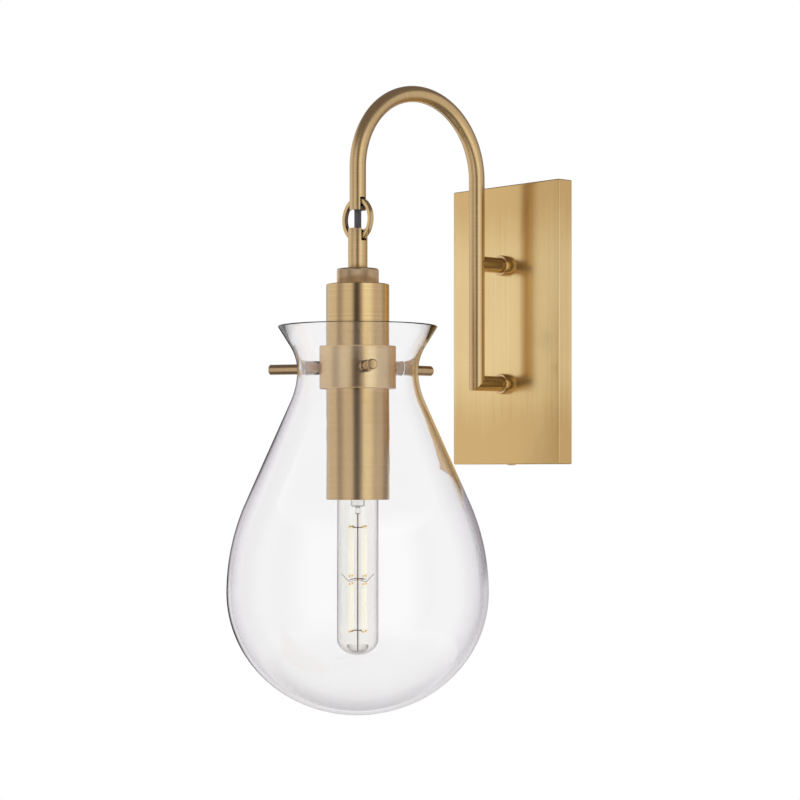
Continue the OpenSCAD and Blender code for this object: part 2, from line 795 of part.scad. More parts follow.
// A thumb pin: a thread in the collar and a smooth rod that passes through the glass
module thumb_pin(angle) {
    seat = band_r + pin_seat_gap;
    color(brass) on_axis() radial(angle) {
        translate([0, 0, cup_r + pin_seat_gap])
            cylinder(h = seat - cup_r - pin_seat_gap + 0.01, r = pin_thread_d / 2);
        translate([0, 0, seat]) cylinder(h = pin_reach - pin_edge - seat, r = pin_r);
        translate([0, 0, pin_reach - pin_edge])
            cylinder(h = pin_edge, r1 = pin_r, r2 = pin_r - pin_edge);
    }
}

module thumb_pin_rear() { thumb_pin(pin_angles[0]); }
module thumb_pin_left() { thumb_pin(pin_angles[1]); }
module thumb_pin_right() { thumb_pin(pin_angles[2]); }

module pin_bushes() {
    color(clear) on_axis() for (a = pin_angles) radial(a) difference() {
        translate([0, 0, band_r + pin_seat_gap])
            cylinder(h = neck_r + bush_stand - band_r - pin_seat_gap, r = bush_out);
        cylinder(h = neck_r + bush_stand + spill, r = bush_in);
    }
}

// One face of the glass from its rim down to the bottom, t inside the outer face
function bell_face(t) = let (
    f = flare_angle, end = [neck_r + flare_r, neck_z]
        + flare_r * [-cos(f), sin(f)] + lip_len * [sin(f), cos(f)]
) concat(
    [end + t * [-cos(f), sin(f)]],
    arc(neck_r + flare_r, neck_z, flare_r + t, 180 - f, 180, 8),
    arc(neck_r + waist_r, neck_z, waist_r + t, 180 + cone_angle / 6, 180 + cone_angle, 5),
    arc(shade_r - shoulder_r, bowl_z, shoulder_r - t, cone_angle, 0, 8),
    [for (i = [1:16]) let (b = 90 * i / 16)
        [(shade_r - t) * cos(b), bowl_z - (bowl_depth - t) * sin(b)]]
);

function reversed(p) = [for (i = [len(p) - 1:-1:0]) p[i]];

module glass_shade() {
    outer = bell_face(0);
    inner = bell_face(glass_t);
    middle = (outer[0] + inner[0]) / 2;
    tilt = atan2(outer[0].y - inner[0].y, outer[0].x - inner[0].x);
    lip = [for (i = [1:5]) let (a = tilt + 180 * i / 6)
        middle + glass_t / 2 * [cos(a), sin(a)]];
    color(clear) on_axis() difference() {
        rotate_extrude() polygon(concat(reversed(outer), lip, inner));
        for (a = pin_angles) radial(a) cylinder(h = neck_r + 2 * glass_t, r = bush_out + fit);
    }
}

module lampholder_cap() {
    skirt_in = boss_r + fit;
    skirt_out = skirt_in + holder_cap_t;
    neck_out = pipe_r + 2.5 * holder_cap_t;
    color(dark_brass) on_axis() rotate_extrude() polygon([
        [pipe_hole, cap_floor], [skirt_in, cap_floor], [skirt_in, holder_top],
        [skirt_out, holder_top], [skirt_out, cap_floor + holder_cap_t],
        [neck_out, cap_floor + holder_cap_t], [neck_out, cap_floor + holder_neck],
        [pipe_hole, cap_floor + holder_neck]
    ]);
}

module lampholder_body() {
    color(black) on_axis() difference() {
        rotate_extrude() polygon([
            [0, floor_z], [shell_r + fit, floor_z], [shell_r + fit, holder_bottom],
            [holder_r, holder_bottom], [holder_r, holder_top], [boss_r, holder_top],
            [boss_r, boss_top], [0, boss_top]
        ]);
        for (s = [-1, 1]) translate([s * terminal_x, 0, boss_top - terminal_len - 2])
            cylinder(h = terminal_len + 2 + spill, r = screw_r + fit);
        rod_z(shell_top, boss_top + spill, rivet_r + fit);
    }
}

// Brass shell that the bulb screws into, with a turned-in top
module screw_shell() {
    lip = 6 * shell_t;
    color(brass) on_axis() rotate_extrude() polygon([
        [shell_r - lip, floor_z], [shell_r, floor_z], [shell_r, holder_bottom + 2 * shell_t],
        [shell_r - shell_t, holder_bottom + 2 * shell_t], [shell_r - shell_t, floor_z - shell_t],
        [shell_r - lip, floor_z - shell_t]
    ]);
}

// Sprung tongue under the lampholder's floor, with the rivet that holds it
module centre_contact() {
    color(brass) on_axis() {
        rod_z(floor_z - contact_t, floor_z, 5 * contact_t);
        rod_z(seat_z + pad_gap, floor_z, 2 * rivet_r);
        rod_z(floor_z - 0.1, boss_top + 0.5, rivet_r);
    }
}

module terminal_screws() {
    color(brass) on_axis() for (s = [-1, 1])
        translate([s * terminal_x, 0, boss_top]) slotted_screw(terminal_len);
}

// One wire from the link down the stem and the pipe to a terminal screw
function stem_wire_route(side) = let (
    x = side * wire_x, off = side * wire_y, p = side * wire_pair,
    over = (cap_floor + boss_top + screw_head_h) / 2,
    leave = cap_floor + holder_neck * 2 / 3
) concat(
    [[x, off, sleeve_bottom - wire_end_gap], [x, off, stem_pin_z - 8]],
    smooth([
        [x, off, stem_pin_z - 10], [x, off, stem_bottom + stem_thread + 3.2],
        [p, 0, stem_bottom + stem_thread - 3], [p, 0, stem_bottom]
    ]),
    [for (i = [1:5]) [p, 0, stem_bottom + (leave - stem_bottom) * i / 6]],
    smooth([
        [p, 0, leave], [p, 0, over],
        [side * (terminal_x - 4), 0, over], [side * terminal_x, 0, over]
    ])
);

module stem_wires() {
    color(black) on_axis() for (side = [-1, 1]) swept(stem_wire_route(side), wire_r);
}

// One face of the bulb's glass from the cap to the rounded end, t inside the outer face
function bulb_face(t) = let (throat = cap_r - shell_in, swell = cap_bottom - swell_len) concat(
    [[throat - t, cap_top - seal_drop]],
    [[throat - t, cap_bottom - 1]],
    [for (i = [1:6]) let (s = i / 6)
        [throat + (bulb_r - throat) * (1 - cos(180 * s)) / 2 - t,
            cap_bottom - 1 + (swell - cap_bottom + 1) * s]],
    [for (i = [0:8]) let (b = 90 * i / 8)
        [(bulb_r - t) * cos(b), bulb_end + bulb_dome - (bulb_dome - t) * sin(b)]]
);

module bulb_glass() {
    color(clear) on_axis() rotate_extrude()
        polygon(concat(reversed(bulb_face(0)), bulb_face(bulb_t)));
}

// Threaded cap, its ridges drawn as rings of rounded section
module bulb_cap() {
    pitch = (cap_len - 4) / cap_ridges;
    steps = 6 * cap_ridges;
    color(steel) on_axis() rotate_extrude() polygon(concat(
        [[cap_r - 1.3, cap_top], [cap_r - 0.8, cap_top]],
        [for (i = [0:steps]) [cap_r - 0.4 + 0.4 * cos(360 * i / 6 + 180),
            cap_top - 1.5 - pitch * i / 6]],
        [[cap_r - 0.3, cap_bottom], [cap_r - 1.3, cap_bottom]]
    ));
}

module bulb_insulator() {
    color(black) on_axis() rotate_extrude() polygon([
        [0, cap_top - 2], [cap_r - 1.35, cap_top - 2], [cap_r - 1.35, cap_top],
        [cap_r - 0.8, cap_top], [5.6, seat_z - 0.7], [0, seat_z - 0.7]
    ]);
}

module bulb_contact() {
    color(steel) on_axis() rotate_extrude() polygon([
        [0, seat_z - 0.7], [4.8, seat_z - 0.7], [4.2, seat_z - 0.15], [2.5, seat_z], [0, seat_z]
    ]);
}

// Glass stem with its flare sealed to the bulb's throat, and its flattened pinch
module bulb_mount() {
    r = mount_d / 2;
    throat = cap_r - shell_in - bulb_t;
    flare_top = cap_top - seal_drop;
    color(clear) on_axis() rotate_extrude() polygon([
        [0, flare_top], [throat, flare_top], [throat, flare_top - 2],
        [r + 1.6, flare_top - 4], [r, flare_top - 8], [r, mount_bottom],
        [2.6, mount_bottom - 1.6], [1.8, pinch_bottom], [0, pinch_bottom]
    ]);
}

module filament_sticks() {
    r = spider_d / 2;
    color([0.95, 0.9, 0.65]) on_axis() for (k = [0:stick_count - 1])
        rotate([0, 0, stick_turn + 360 * k / stick_count]) translate([stick_r, 0, 0]) {
            rod_z(spider_middle + r, spider_top - r, stick_d / 2);
            rod_z(spider_low + r, spider_middle - r, stick_d / 2);
        }
}

// Centre wire and the three wire stars that carry the sticks
module filament_frame() {
    r = spider_d / 2;
    color(steel) on_axis() {
        rod_z(button_floor + fit, pinch_bottom, r);
        for (z = [spider_top, spider_middle, spider_low]) {
            rod_z(z - r, z + r, 1.4);
            for (k = [0:stick_count - 1]) rotate([0, 0, stick_turn + 360 * k / stick_count]) {
                translate([0, 0, z]) rotate([0, 90, 0]) cylinder(h = stick_r + 1, r = r * 0.99);
                translate([stick_r, 0, 0]) rod_z(z - r, z + r, stick_d / 2);
            }
        }
        for (s = [0, 180]) rotate([0, 0, s + 45]) translate([0, 0, spider_middle])
            rotate([0, 70, 0]) cylinder(h = bulb_r - bulb_t - 0.6, r = r * 0.6);
    }
}

// Clear bowl that rests in the bulb's rounded end and steadies the centre wire
module filament_button() {
    color(clear) on_axis() rotate_extrude() polygon(concat(
        [for (i = [0:10]) let (b = 90 * i / 10)
            [button_r * sin(b), button_top - button_depth * cos(b)]],
        [for (i = [10:-1:0]) let (b = 90 * i / 10)
            [(button_r - button_t) * sin(b), button_top - (button_depth - button_t) * cos(b)]]
    ));
}

wall_plate();
mounting_strap();
plate_screws();
earth_screw();
earth_lead();
gooseneck_tube();
upper_post();
lower_post();
upper_collar();
lower_collar();
post_pipes();
post_washers();
post_nuts();
wire_bushing();
arm_cross_pin();
arm_wires();
wire_connectors();
link_ring();
link_sleeve();
stem_tube();
stem_cross_pin();
socket_pipe();
cup_washer();
cup_locknut();
socket_cup();
shade_collar();
glass_shade();
pin_bushes();
lampholder_cap();
lampholder_body();
screw_shell();
centre_contact();
terminal_screws();
stem_wires();
knurled_nut();
thumb_pin_rear();
thumb_pin_left();
thumb_pin_right();
bulb_glass();
bulb_cap();
bulb_insulator();
bulb_contact();
bulb_mount();
filament_sticks();
filament_frame();
filament_button();
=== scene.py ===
# %% [markdown]
# # A gooseneck wall sconce in brushed brass and clear glass
# A brass plate on the wall carries a bent tube. A small ring hangs a long cup from the tube's
# end, and three pins through the cup's collar band hold a drop of clear glass round a tubular
# bulb. Nearly every visible piece was turned on a lathe, so most meshes here are outlines spun
# about an axis. The first cell loads the measured model, whose boxes place every piece.

# %% Load the frame
import math

import bmesh
import bpy
from mathutils import Matrix, Vector


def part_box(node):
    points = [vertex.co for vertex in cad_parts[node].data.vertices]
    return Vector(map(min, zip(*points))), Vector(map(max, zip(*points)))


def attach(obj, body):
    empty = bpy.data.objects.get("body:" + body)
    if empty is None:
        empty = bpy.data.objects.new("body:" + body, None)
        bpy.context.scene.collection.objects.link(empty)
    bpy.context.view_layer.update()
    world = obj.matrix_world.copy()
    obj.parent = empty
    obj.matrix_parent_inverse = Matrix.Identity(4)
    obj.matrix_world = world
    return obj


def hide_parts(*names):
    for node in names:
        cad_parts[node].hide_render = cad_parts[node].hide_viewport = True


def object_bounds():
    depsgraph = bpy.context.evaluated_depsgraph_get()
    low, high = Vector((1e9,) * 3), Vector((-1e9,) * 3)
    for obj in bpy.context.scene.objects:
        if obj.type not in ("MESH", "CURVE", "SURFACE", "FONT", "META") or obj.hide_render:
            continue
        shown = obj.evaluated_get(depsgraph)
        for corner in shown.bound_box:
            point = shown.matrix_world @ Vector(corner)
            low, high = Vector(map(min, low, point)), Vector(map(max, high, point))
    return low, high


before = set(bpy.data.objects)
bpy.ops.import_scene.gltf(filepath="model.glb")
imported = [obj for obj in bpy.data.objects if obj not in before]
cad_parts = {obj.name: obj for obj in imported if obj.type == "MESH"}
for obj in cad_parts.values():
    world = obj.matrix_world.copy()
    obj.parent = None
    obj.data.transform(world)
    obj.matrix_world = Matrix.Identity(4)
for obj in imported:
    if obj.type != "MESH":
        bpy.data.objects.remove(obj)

MM = 0.001
cad_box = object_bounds()
print("measured box", [[round(v, 4) for v in corner] for corner in cad_box])

# %% [markdown]
# ## The camera
# The photograph looks level across the plate from the right, with a long lens. The lens, the
# horizon and the place of the glass's axis in the picture fix where the camera stands. The
# camera stays level and the lens shift moves the picture, so upright lines stay upright.

# %% Place the camera
VIEW_SIDE = 48.5                # degrees round from the front of the plate
PICTURE = 800                   # the picture's side in pixels
LENS_PIXELS = 2266              # focal length in pixels
GLASS_X, HORIZON_Y = 357.8, 471.8   # the glass's axis and the horizon in the picture
GLASS_DISTANCE = 1.757          # from the camera to the glass's axis
CAMERA_HEIGHT = -0.1206


def middle(node, axis):
    """Where the middle of a node's box lies along X, Y or Z (0, 1 or 2)."""
    lo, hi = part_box(node)
    return (lo[axis] + hi[axis]) / 2


def placed(name, data):
    """Adds an object to the scene."""
    thing = bpy.data.objects.new(name, data)
    scene.collection.objects.link(thing)
    return thing


scene = bpy.context.scene
AXIS_Y = middle("socket_cup", 1)
turn = math.radians(VIEW_SIDE)
ahead = Vector((-math.sin(turn), math.cos(turn), 0))
sideways = Vector((math.cos(turn), math.sin(turn), 0))
off_centre = (GLASS_X - PICTURE / 2) / LENS_PIXELS * GLASS_DISTANCE

lens = bpy.data.cameras.new("camera")
lens.sensor_width = 36
lens.lens = LENS_PIXELS / PICTURE * lens.sensor_width
lens.shift_y = (HORIZON_Y - PICTURE / 2) / PICTURE
camera = placed("camera", lens)
camera.location = Vector((0, AXIS_Y, 0)) - ahead * GLASS_DISTANCE - sideways * off_centre
camera.location.z = CAMERA_HEIGHT
camera.rotation_euler = (math.radians(90), 0, turn)
scene.camera = camera
print("camera at", [round(v, 4) for v in camera.location], "lens", round(lens.lens, 1), "mm")

# %% [markdown]
# ## Writing a finish as sums
# A graph of nodes written link by link is hard to read, so a small class wraps a socket and
# overloads the arithmetic signs. An expression such as `1 - lines * 0.3` then adds its Math
# nodes by itself. A second class adds every other node, and a third wraps the main shader.

# %% A socket that can be used in sums
class Value:
    """One output socket of a finish, ready for arithmetic."""

    def __init__(self, finish, socket):
        self.finish, self.socket = finish, socket

    def sum_with(self, operation, other, swapped=False):
        pair = (other, self) if swapped else (self, other)
        return self.finish.maths(operation, *pair)

    def __add__(self, other):
        return self.sum_with("ADD", other)

    def __sub__(self, other):
        return self.sum_with("SUBTRACT", other)

    def __rsub__(self, other):
        return self.sum_with("SUBTRACT", other, swapped=True)

    def __mul__(self, other):
        return self.sum_with("MULTIPLY", other)

    __radd__, __rmul__ = __add__, __mul__


class Graph:
    """The nodes of a material or of the world, built by short calls: node() adds any node."""

    def __init__(self, owner):
        owner.use_nodes = True
        self.tree = owner.node_tree
        self.output = next(n for n in self.tree.nodes if n.bl_idname.startswith("ShaderNodeOutput"))

    def show(self, value, socket="Surface"):
        self.plug(self.output.inputs[socket], value)

    def plug(self, socket, value):
        if isinstance(value, Value):
            self.tree.links.new(value.socket, socket)
        elif isinstance(value, tuple) and socket.type == "RGBA":
            socket.default_value = (*value, 1)
        else:
            socket.default_value = value

    def node(self, kind, settings=None, sockets=None, output=0):
        """Adds a node. Settings come first, because they can change which sockets it has."""
        made = self.tree.nodes.new("ShaderNode" + kind)
        for key, value in (settings or {}).items():
            if key == "stops":
                self.set_stops(made.color_ramp, value)
            else:
                setattr(made, key, value)
        for key, value in (sockets or {}).items():
            self.plug(made.inputs[key], value)
        return Value(self, made.outputs[output])

    def set_stops(self, ramp, stops):
        while len(ramp.elements) < len(stops):
            ramp.elements.new(0.5)
        for element, (position, colour) in zip(ramp.elements, stops):
            element.position = position
            element.color = (*colour, 1)

    def maths(self, operation, first, second=0.0):
        return self.node("Math", {"operation": operation}, {0: first, 1: second})

    def mix(self, first, second, share):
        """Blends two colours."""
        sockets = {"Factor": share, 6: first, 7: second}
        return self.node("Mix", {"data_type": "RGBA"}, sockets, output=2)

    def place(self, scale=(1, 1, 1)):
        """The object's own coordinates in metres, stretched by scale."""
        here = self.node("TexCoord", output="Object")
        return self.node("Mapping", {}, {"Vector": here, "Scale": scale})

    def axes(self):
        """The object's own x, y and z in metres."""
        here = self.node("TexCoord", output="Object")
        return [self.node("SeparateXYZ", {}, {0: here}, output=i) for i in range(3)]

    def mark(self, name):
        """A mesh attribute."""
        return self.node("Attribute", {"attribute_name": name}, output="Fac")

    def ray(self, fact):
        """A fact about the ray that meets the surface."""
        return self.node("LightPath", output=fact)

    def noise(self, vector, scale, detail=2.0):
        sockets = {"Vector": vector, "Scale": scale, "Detail": detail, "Roughness": 0.5}
        return self.node("TexNoise", {"noise_dimensions": "3D"}, sockets)

    def lines(self, along, per_metre, detail=1.0):
        """Noise along one number only, which draws lines across it."""
        sockets = {"W": along * per_metre, "Scale": 1.0, "Detail": detail}
        return self.node("TexNoise", {"noise_dimensions": "1D"}, sockets)

    def bump(self, height, depth, strength=1.0):
        return self.node("Bump", {}, {"Height": height, "Distance": depth, "Strength": strength})

    def smooth_step(self, value, low, high):
        """0 at low and 1 at high, with a soft start and end."""
        sockets = {"Value": value, "From Min": low, "From Max": high}
        return self.node("MapRange", {"interpolation_type": "SMOOTHSTEP"}, sockets)


class Finish(Graph):
    """A material around Blender's main shader."""

    def __init__(self, name):
        self.material = bpy.data.materials.new(name)
        super().__init__(self.material)
        self.shader = self.tree.nodes["Principled BSDF"]

    def surface(self, **values):
        """Sets the main shader's sockets: base_color becomes Base Color, and so on."""
        for key, value in values.items():
            words = key.replace("_", " ").title().replace("Ior", "IOR")
            self.plug(self.shader.inputs[words], value)
        return self.material


# %% [markdown]
# ## Brushed brass
# The real pieces are satin brass under a thin lacquer, lightly aged. The brush ran round each
# tube while it turned, so the marks are rings. A mesh attribute named brush says how far along
# its own axis each point lies, and noise read along that one number makes rings on a straight
# tube and a bent one alike. They feed the roughness and a shallow bump, which smear reflections
# along the tube as real brushing does.

# %% Brass for the turned pieces
BRASS_LIGHT = (0.78, 0.58, 0.30)
BRASS_DEEP = (0.60, 0.41, 0.19)
# The brown of painted shade, for the bore and edges that a mark picks out.
BRASS_SHADE_BROWN = (0.16, 0.105, 0.085)


def turned_brass(name, light=BRASS_LIGHT, deep=BRASS_DEEP, rough=0.13, bump_depth=0.03 * MM):
    finish = Finish(name)
    along = finish.mark("brush")
    fine = finish.lines(along, 3600, detail=2.0)
    broad = finish.lines(along, 620, detail=1.0)
    cloud = finish.noise(finish.place(), 26.0, detail=3.0)
    age = finish.noise(finish.place((1, 1, 0.4)), 9.0, detail=2.0)
    tone = broad * 0.5 + cloud * 0.55 + age * 0.5 - 0.28
    return finish.surface(
        # Where the second mark is set, the colour turns brown as painted shade.
        base_color=finish.mix(finish.mix(deep, light, tone), BRASS_SHADE_BROWN, finish.mark("unbrushed")),
        metallic=1.0,
        roughness=rough + fine * 0.06 + cloud * 0.05,
        normal=finish.bump(fine * 0.6 + broad * 0.4, bump_depth, 0.6),
    )


# The arm has a softer brush, the band is paler and the pins are browner.
aged_brass = turned_brass("satin_brass")
arm_brass = turned_brass("arm_brass", rough=0.25, bump_depth=0.01 * MM)
band_brass = turned_brass("band_brass", (0.87, 0.67, 0.38), (0.70, 0.51, 0.27), rough=0.2)
pin_brass = turned_brass("pin_brass", (0.68, 0.50, 0.27), (0.50, 0.35, 0.18), rough=0.15)
print("finish", aged_brass.name, "has", len(aged_brass.node_tree.nodes), "nodes")

# %% [markdown]
# The wall plate is the same brass, but it was brushed up and down on a belt. Its marks are
# upright streaks a few centimetres long, so the noise is stretched along Z. Towards its top and
# bottom the colour is a little darker, as painted shade.

# %% Brass for the wall plate
def belt_brass(name):
    finish = Finish(name)
    fine = finish.noise(finish.place((2400, 2400, 14)), 1.0, detail=2.0)
    broad = finish.noise(finish.place((330, 330, 5)), 1.0, detail=2.0)
    cloud = finish.noise(finish.place((1, 1, 0.6)), 16.0, detail=3.0)
    height = finish.axes()[2]
    # Painted shade: the colour darkens towards the plate's top and bottom.
    ends = finish.smooth_step(finish.maths("ABSOLUTE", height - 0.008), 0.035, 0.105)
    tone = broad * 0.5 + fine * 0.25 + cloud * 0.6 - 0.02 - ends * 0.75
    return finish.surface(
        base_color=finish.mix((0.73, 0.50, 0.21), (0.98, 0.77, 0.39), tone),
        metallic=1.0,
        roughness=0.17 + fine * 0.08 + cloud * 0.05,
        normal=finish.bump(fine * 0.5 + broad * 0.5, 0.014 * MM, 0.6),
    )


plate_brass = belt_brass("belt_brass")

# %% [markdown]
# The grooves of the knurled nut hold more of the brown ageing than its points do, and painted
# shade in the grooves and a painted highlight on the points add to that, so its colour follows
# how far a point lies from the nut's axis.

# %% Brass for the knurled nut
def knurled_finish(name, outer_radius, groove):
    finish = Finish(name)
    # Tarnish and painted shade in the grooves, and a painted highlight on the points.
    wear_and_sheen = (finish.mark("brush") - (outer_radius - groove)) * (1 / groove)
    wear_and_sheen = finish.maths("MINIMUM", finish.maths("MAXIMUM", wear_and_sheen, 0.0), 1.0)
    cloud = finish.noise(finish.place(), 90.0, detail=2.0)
    return finish.surface(
        base_color=finish.mix((0.50, 0.36, 0.21), (1.0, 0.80, 0.52), wear_and_sheen * 0.85 + cloud * 0.15),
        metallic=1.0,
        roughness=0.2 + cloud * 0.08,
    )


# %% [markdown]
# ## Glass
# The bell is blown clear glass about 3 mm thick. Through its face light crosses only the two
# thin walls, but along its outline light runs lengthwise in the wall, which is why real clear
# glass has grey outlines. A little absorption inside the glass gives that for nothing. The
# finest edges need more than that, so a painted shade also deepens the tint where a face turns
# away from the eye. The bell, the bulb and the bushes differ in how strongly they do both, and
# in how much they bend, scatter and mirror light.

# %% Clear glass
def clear_glass(
        name, density, edge, power=2.0, clear=(1.0, 1.0, 1.0), ior=1.47, rough=0.0, gloss=0.25):
    """Glass that takes the edge tint, a painted shade on its outlines, where it is seen at a slant.
    """
    finish = Finish(name)
    slant_shade = finish.node("LayerWeight", {}, {"Blend": 0.5}, output="Facing")
    finish.surface(
        base_color=finish.mix(clear, edge, finish.maths("POWER", slant_shade, power)),
        roughness=rough, ior=ior, transmission_weight=1.0, specular_ior_level=gloss,
    )
    fog = finish.node("VolumeAbsorption", {}, {"Color": (0.83, 0.80, 0.81), "Density": density})
    finish.show(fog, "Volume")
    return finish.material


bell_glass = clear_glass(
    "bell_glass", 14.0, edge=(0.78, 0.74, 0.76), power=6.0, clear=(0.985, 0.983, 0.986), gloss=0.1)
bulb_clear = clear_glass(
    "bulb_envelope_glass", 6.0, edge=(0.36, 0.31, 0.33), power=3.0, clear=(1.0, 0.998, 0.975),
    ior=1.36)
stem_glass = clear_glass("stem_glass", 6.0, edge=(0.40, 0.36, 0.36), power=3.0, ior=1.36)
bush_clear = clear_glass(
    "bush_plastic", 60.0, edge=(0.70, 0.64, 0.70), clear=(0.96, 0.93, 0.96), rough=0.12)

# %% [markdown]
# ## The smaller finishes
# The pieces inside and behind the plate are plated steel, black and orange plastic, bare
# copper and bright brass. One recipe serves them all: two colours in fine spots, and a
# roughness and a bump that follow the spots.

# %% Metals and plastics of the inner pieces
def plain_finish(name, light, dark, metallic, rough, grain=120.0):
    finish = Finish(name)
    spots = finish.noise(finish.place(), grain, detail=3.0)
    return finish.surface(
        base_color=finish.mix(dark, light, spots),
        metallic=metallic,
        roughness=rough + spots * 0.12,
        normal=finish.bump(spots, 0.02 * MM, 0.5),
    )


PLAIN = {
    "zinc_plating": ((0.66, 0.68, 0.72), (0.48, 0.50, 0.53), 1.0, 0.28, 240.0),
    "green_plating": ((0.12, 0.42, 0.18), (0.05, 0.26, 0.09), 0.7, 0.3),
    "bare_copper": ((0.85, 0.50, 0.33), (0.62, 0.32, 0.2), 1.0, 0.3),
    "wire_jacket": ((0.05, 0.05, 0.055), (0.025, 0.025, 0.03), 0.0, 0.32),
    "orange_shell": ((0.85, 0.30, 0.05), (0.72, 0.22, 0.03), 0.0, 0.4),
    "black_resin": ((0.05, 0.045, 0.045), (0.02, 0.018, 0.018), 0.0, 0.36),
    "new_brass": ((0.88, 0.70, 0.36), (0.74, 0.55, 0.25), 1.0, 0.2),
    "nickel_plating": ((0.72, 0.70, 0.66), (0.55, 0.53, 0.5), 1.0, 0.22),
    "black_glass": ((0.03, 0.03, 0.035), (0.015, 0.015, 0.02), 0.0, 0.1),
    "sleeve_rubber": ((0.085, 0.075, 0.085), (0.05, 0.042, 0.05), 0.0, 0.42),
    "frame_wire": ((0.50, 0.24, 0.08), (0.04, 0.028, 0.022), 0.4, 0.3, 60.0),
}
plain = {name: plain_finish(name, *look) for name, look in PLAIN.items()}
button_glass = clear_glass(
    "button_glass", 10.0, edge=(0.16, 0.13, 0.13), power=2.0, clear=(0.96, 0.95, 0.94), ior=1.36)


def filament_finish(name, tip):
    """Pale coat with yellow ends: the brush attribute is the distance from a stick's end."""
    finish = Finish(name)
    along = finish.mark("brush")
    coat = finish.maths("GREATER_THAN", along, tip)
    grain = finish.noise(finish.place(), 400.0, detail=2.0)
    cream = finish.mix((0.93, 0.90, 0.78), (0.97, 0.94, 0.84), grain)
    colour = finish.mix((0.80, 0.52, 0.14), cream, coat)
    # The coat glows faintly in its own colour, a painted glow that brightens the sticks.
    return finish.surface(
        base_color=colour, roughness=0.45 + grain * 0.1, emission_color=colour,
        emission_strength=0.6)


phosphor = filament_finish("glowing_filament_coat", 1.6)
print(len(bpy.data.materials), "finishes so far")

# %% [markdown]
# ## Turning on a lathe
# A turned piece is an outline spun about an axis. The outline is a row of points in the plane
# of radius and height, in millimetres. The spin's first and last ring are merged, corners are
# bevelled as a turner breaks every edge, and the brush attribute marks the rings.

# %% Helpers for turned pieces
SEGMENTS = 96
FIT, SEAT = 0.05, 0.1           # clearances round a fit and at a shoulder, in millimetres
PAST = 5.0                      # how far a cutter reaches past the face that it opens
THREAD_DEPTH = 0.35


def up(height):
    """A step of so many millimetres along Z."""
    return Vector((0, 0, height * MM))


def moved(bm, step):
    bmesh.ops.translate(bm, verts=bm.verts, vec=step)
    return bm


def rotated(bm, degrees, axis):
    """Turns a bmesh about an axis through the origin."""
    bmesh.ops.rotate(
        bm, verts=bm.verts, cent=(0, 0, 0), matrix=Matrix.Rotation(math.radians(degrees), 3, axis))
    return bm


def swept(bm, geometry, centre, axis, degrees, steps, merge=False):
    """Spins geometry about an axis and gives what lies at the end."""
    return bmesh.ops.spin(
        bm, geom=geometry, cent=centre, axis=axis, dvec=(0, 0, 0), angle=math.radians(degrees),
        steps=steps, use_merge=merge, use_normal_flip=False, use_duplicate=False)["geom_last"]


def arc(centre, radius, first, last, steps):
    """Points on an arc, angles in degrees from the radius's direction."""
    points = []
    for i in range(steps + 1):
        angle = math.radians(first + (last - first) * i / steps)
        points.append((centre[0] + radius * math.cos(angle), centre[1] + radius * math.sin(angle)))
    return points


def ridges(radius, start, pitch, count, shift=0.0):
    """The outline of a thread, drawn as a row of ridges. Shift moves the grooves along."""
    points = []
    for i in range(count):
        low = start + i * pitch
        points += [(radius - THREAD_DEPTH, low + shift), (radius, low + pitch / 2)]
    return points


def spun(outline, segments=SEGMENTS, closed=True):
    """Spins an outline of (radius, height) points in millimetres about Z.

    An outline that starts and ends on the axis isn't closed: its poles close it."""
    bm = bmesh.new()
    verts = [bm.verts.new((r * MM, 0, z * MM)) for r, z in outline]
    ends = verts[1:] + (verts[:1] if closed else [])
    edges = [bm.edges.new(pair) for pair in zip(verts, ends)]
    swept(bm, verts + edges, (0, 0, 0), (0, 0, 1), 360, segments, merge=True)
    bmesh.ops.remove_doubles(bm, verts=bm.verts, dist=0.001 * MM)
    loose = [e for e in bm.edges if not e.link_faces]
    bmesh.ops.delete(bm, geom=loose, context="EDGES")
    bmesh.ops.recalc_face_normals(bm, faces=bm.faces)
    return bm


def round_edges(bm, width, segments=3, corner=40, keep=None):
    """Rounds the edges that keep picks among those sharper than corner degrees."""
    bm.normal_update()
    sharp = [
        e for e in bm.edges
        if len(e.link_faces) == 2 and math.degrees(e.calc_face_angle()) > corner
        and (keep is None or keep(e))
    ]
    bmesh.ops.bevel(
        bm, geom=sharp, offset=width * MM, offset_type="OFFSET", segments=segments,
        profile=0.5, affect="EDGES", clamp_overlap=True, material=-1,
    )
    return bm


def along_axis(bm, point, direction):
    """Moves a piece that was spun about Z so that it lies along direction from point."""
    spin_axis = Vector(direction).to_track_quat("Z", "Y").to_matrix().to_4x4()
    bmesh.ops.transform(bm, matrix=Matrix.Translation(point) @ spin_axis, verts=bm.verts)
    return bm


def beyond(radius, height=-math.inf):
    """Picks edges farther out from the Z axis than radius and higher than height."""
    return lambda e: e.verts[0].co.xy.length > radius * MM and e.verts[0].co.z > height * MM


def as_mesh(name, bm):
    """The mesh of a bmesh, which is used up."""
    mesh = bpy.data.meshes.new(name)
    bm.to_mesh(mesh)
    bm.free()
    return mesh


def finished(name, shape, body, slot, material, replaces, sharp=32, **marks):
    """Makes a bmesh or a mesh an object that rides on a body.

    Each mark is an attribute of the mesh, given as a rule for a point."""
    mesh = shape if isinstance(shape, bpy.types.Mesh) else as_mesh(name, shape)
    piece = placed(name, mesh)
    mesh.materials.clear()
    mesh.materials.append(material)
    mesh.polygons.foreach_set("use_smooth", [True] * len(mesh.polygons))
    mesh.set_sharp_from_angle(angle=math.radians(sharp))
    for mark, rule in marks.items():
        values = mesh.attributes.new(mark, "FLOAT", "POINT")
        values.data.foreach_set("value", [float(rule(v.co)) for v in mesh.vertices])
    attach(piece, body)
    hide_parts(*replaces)


def brass(name, shape, body, replaces, material=aged_brass, **marks):
    """A brass piece."""
    finished(name, shape, body, "aged_brass", material, replaces, **marks)


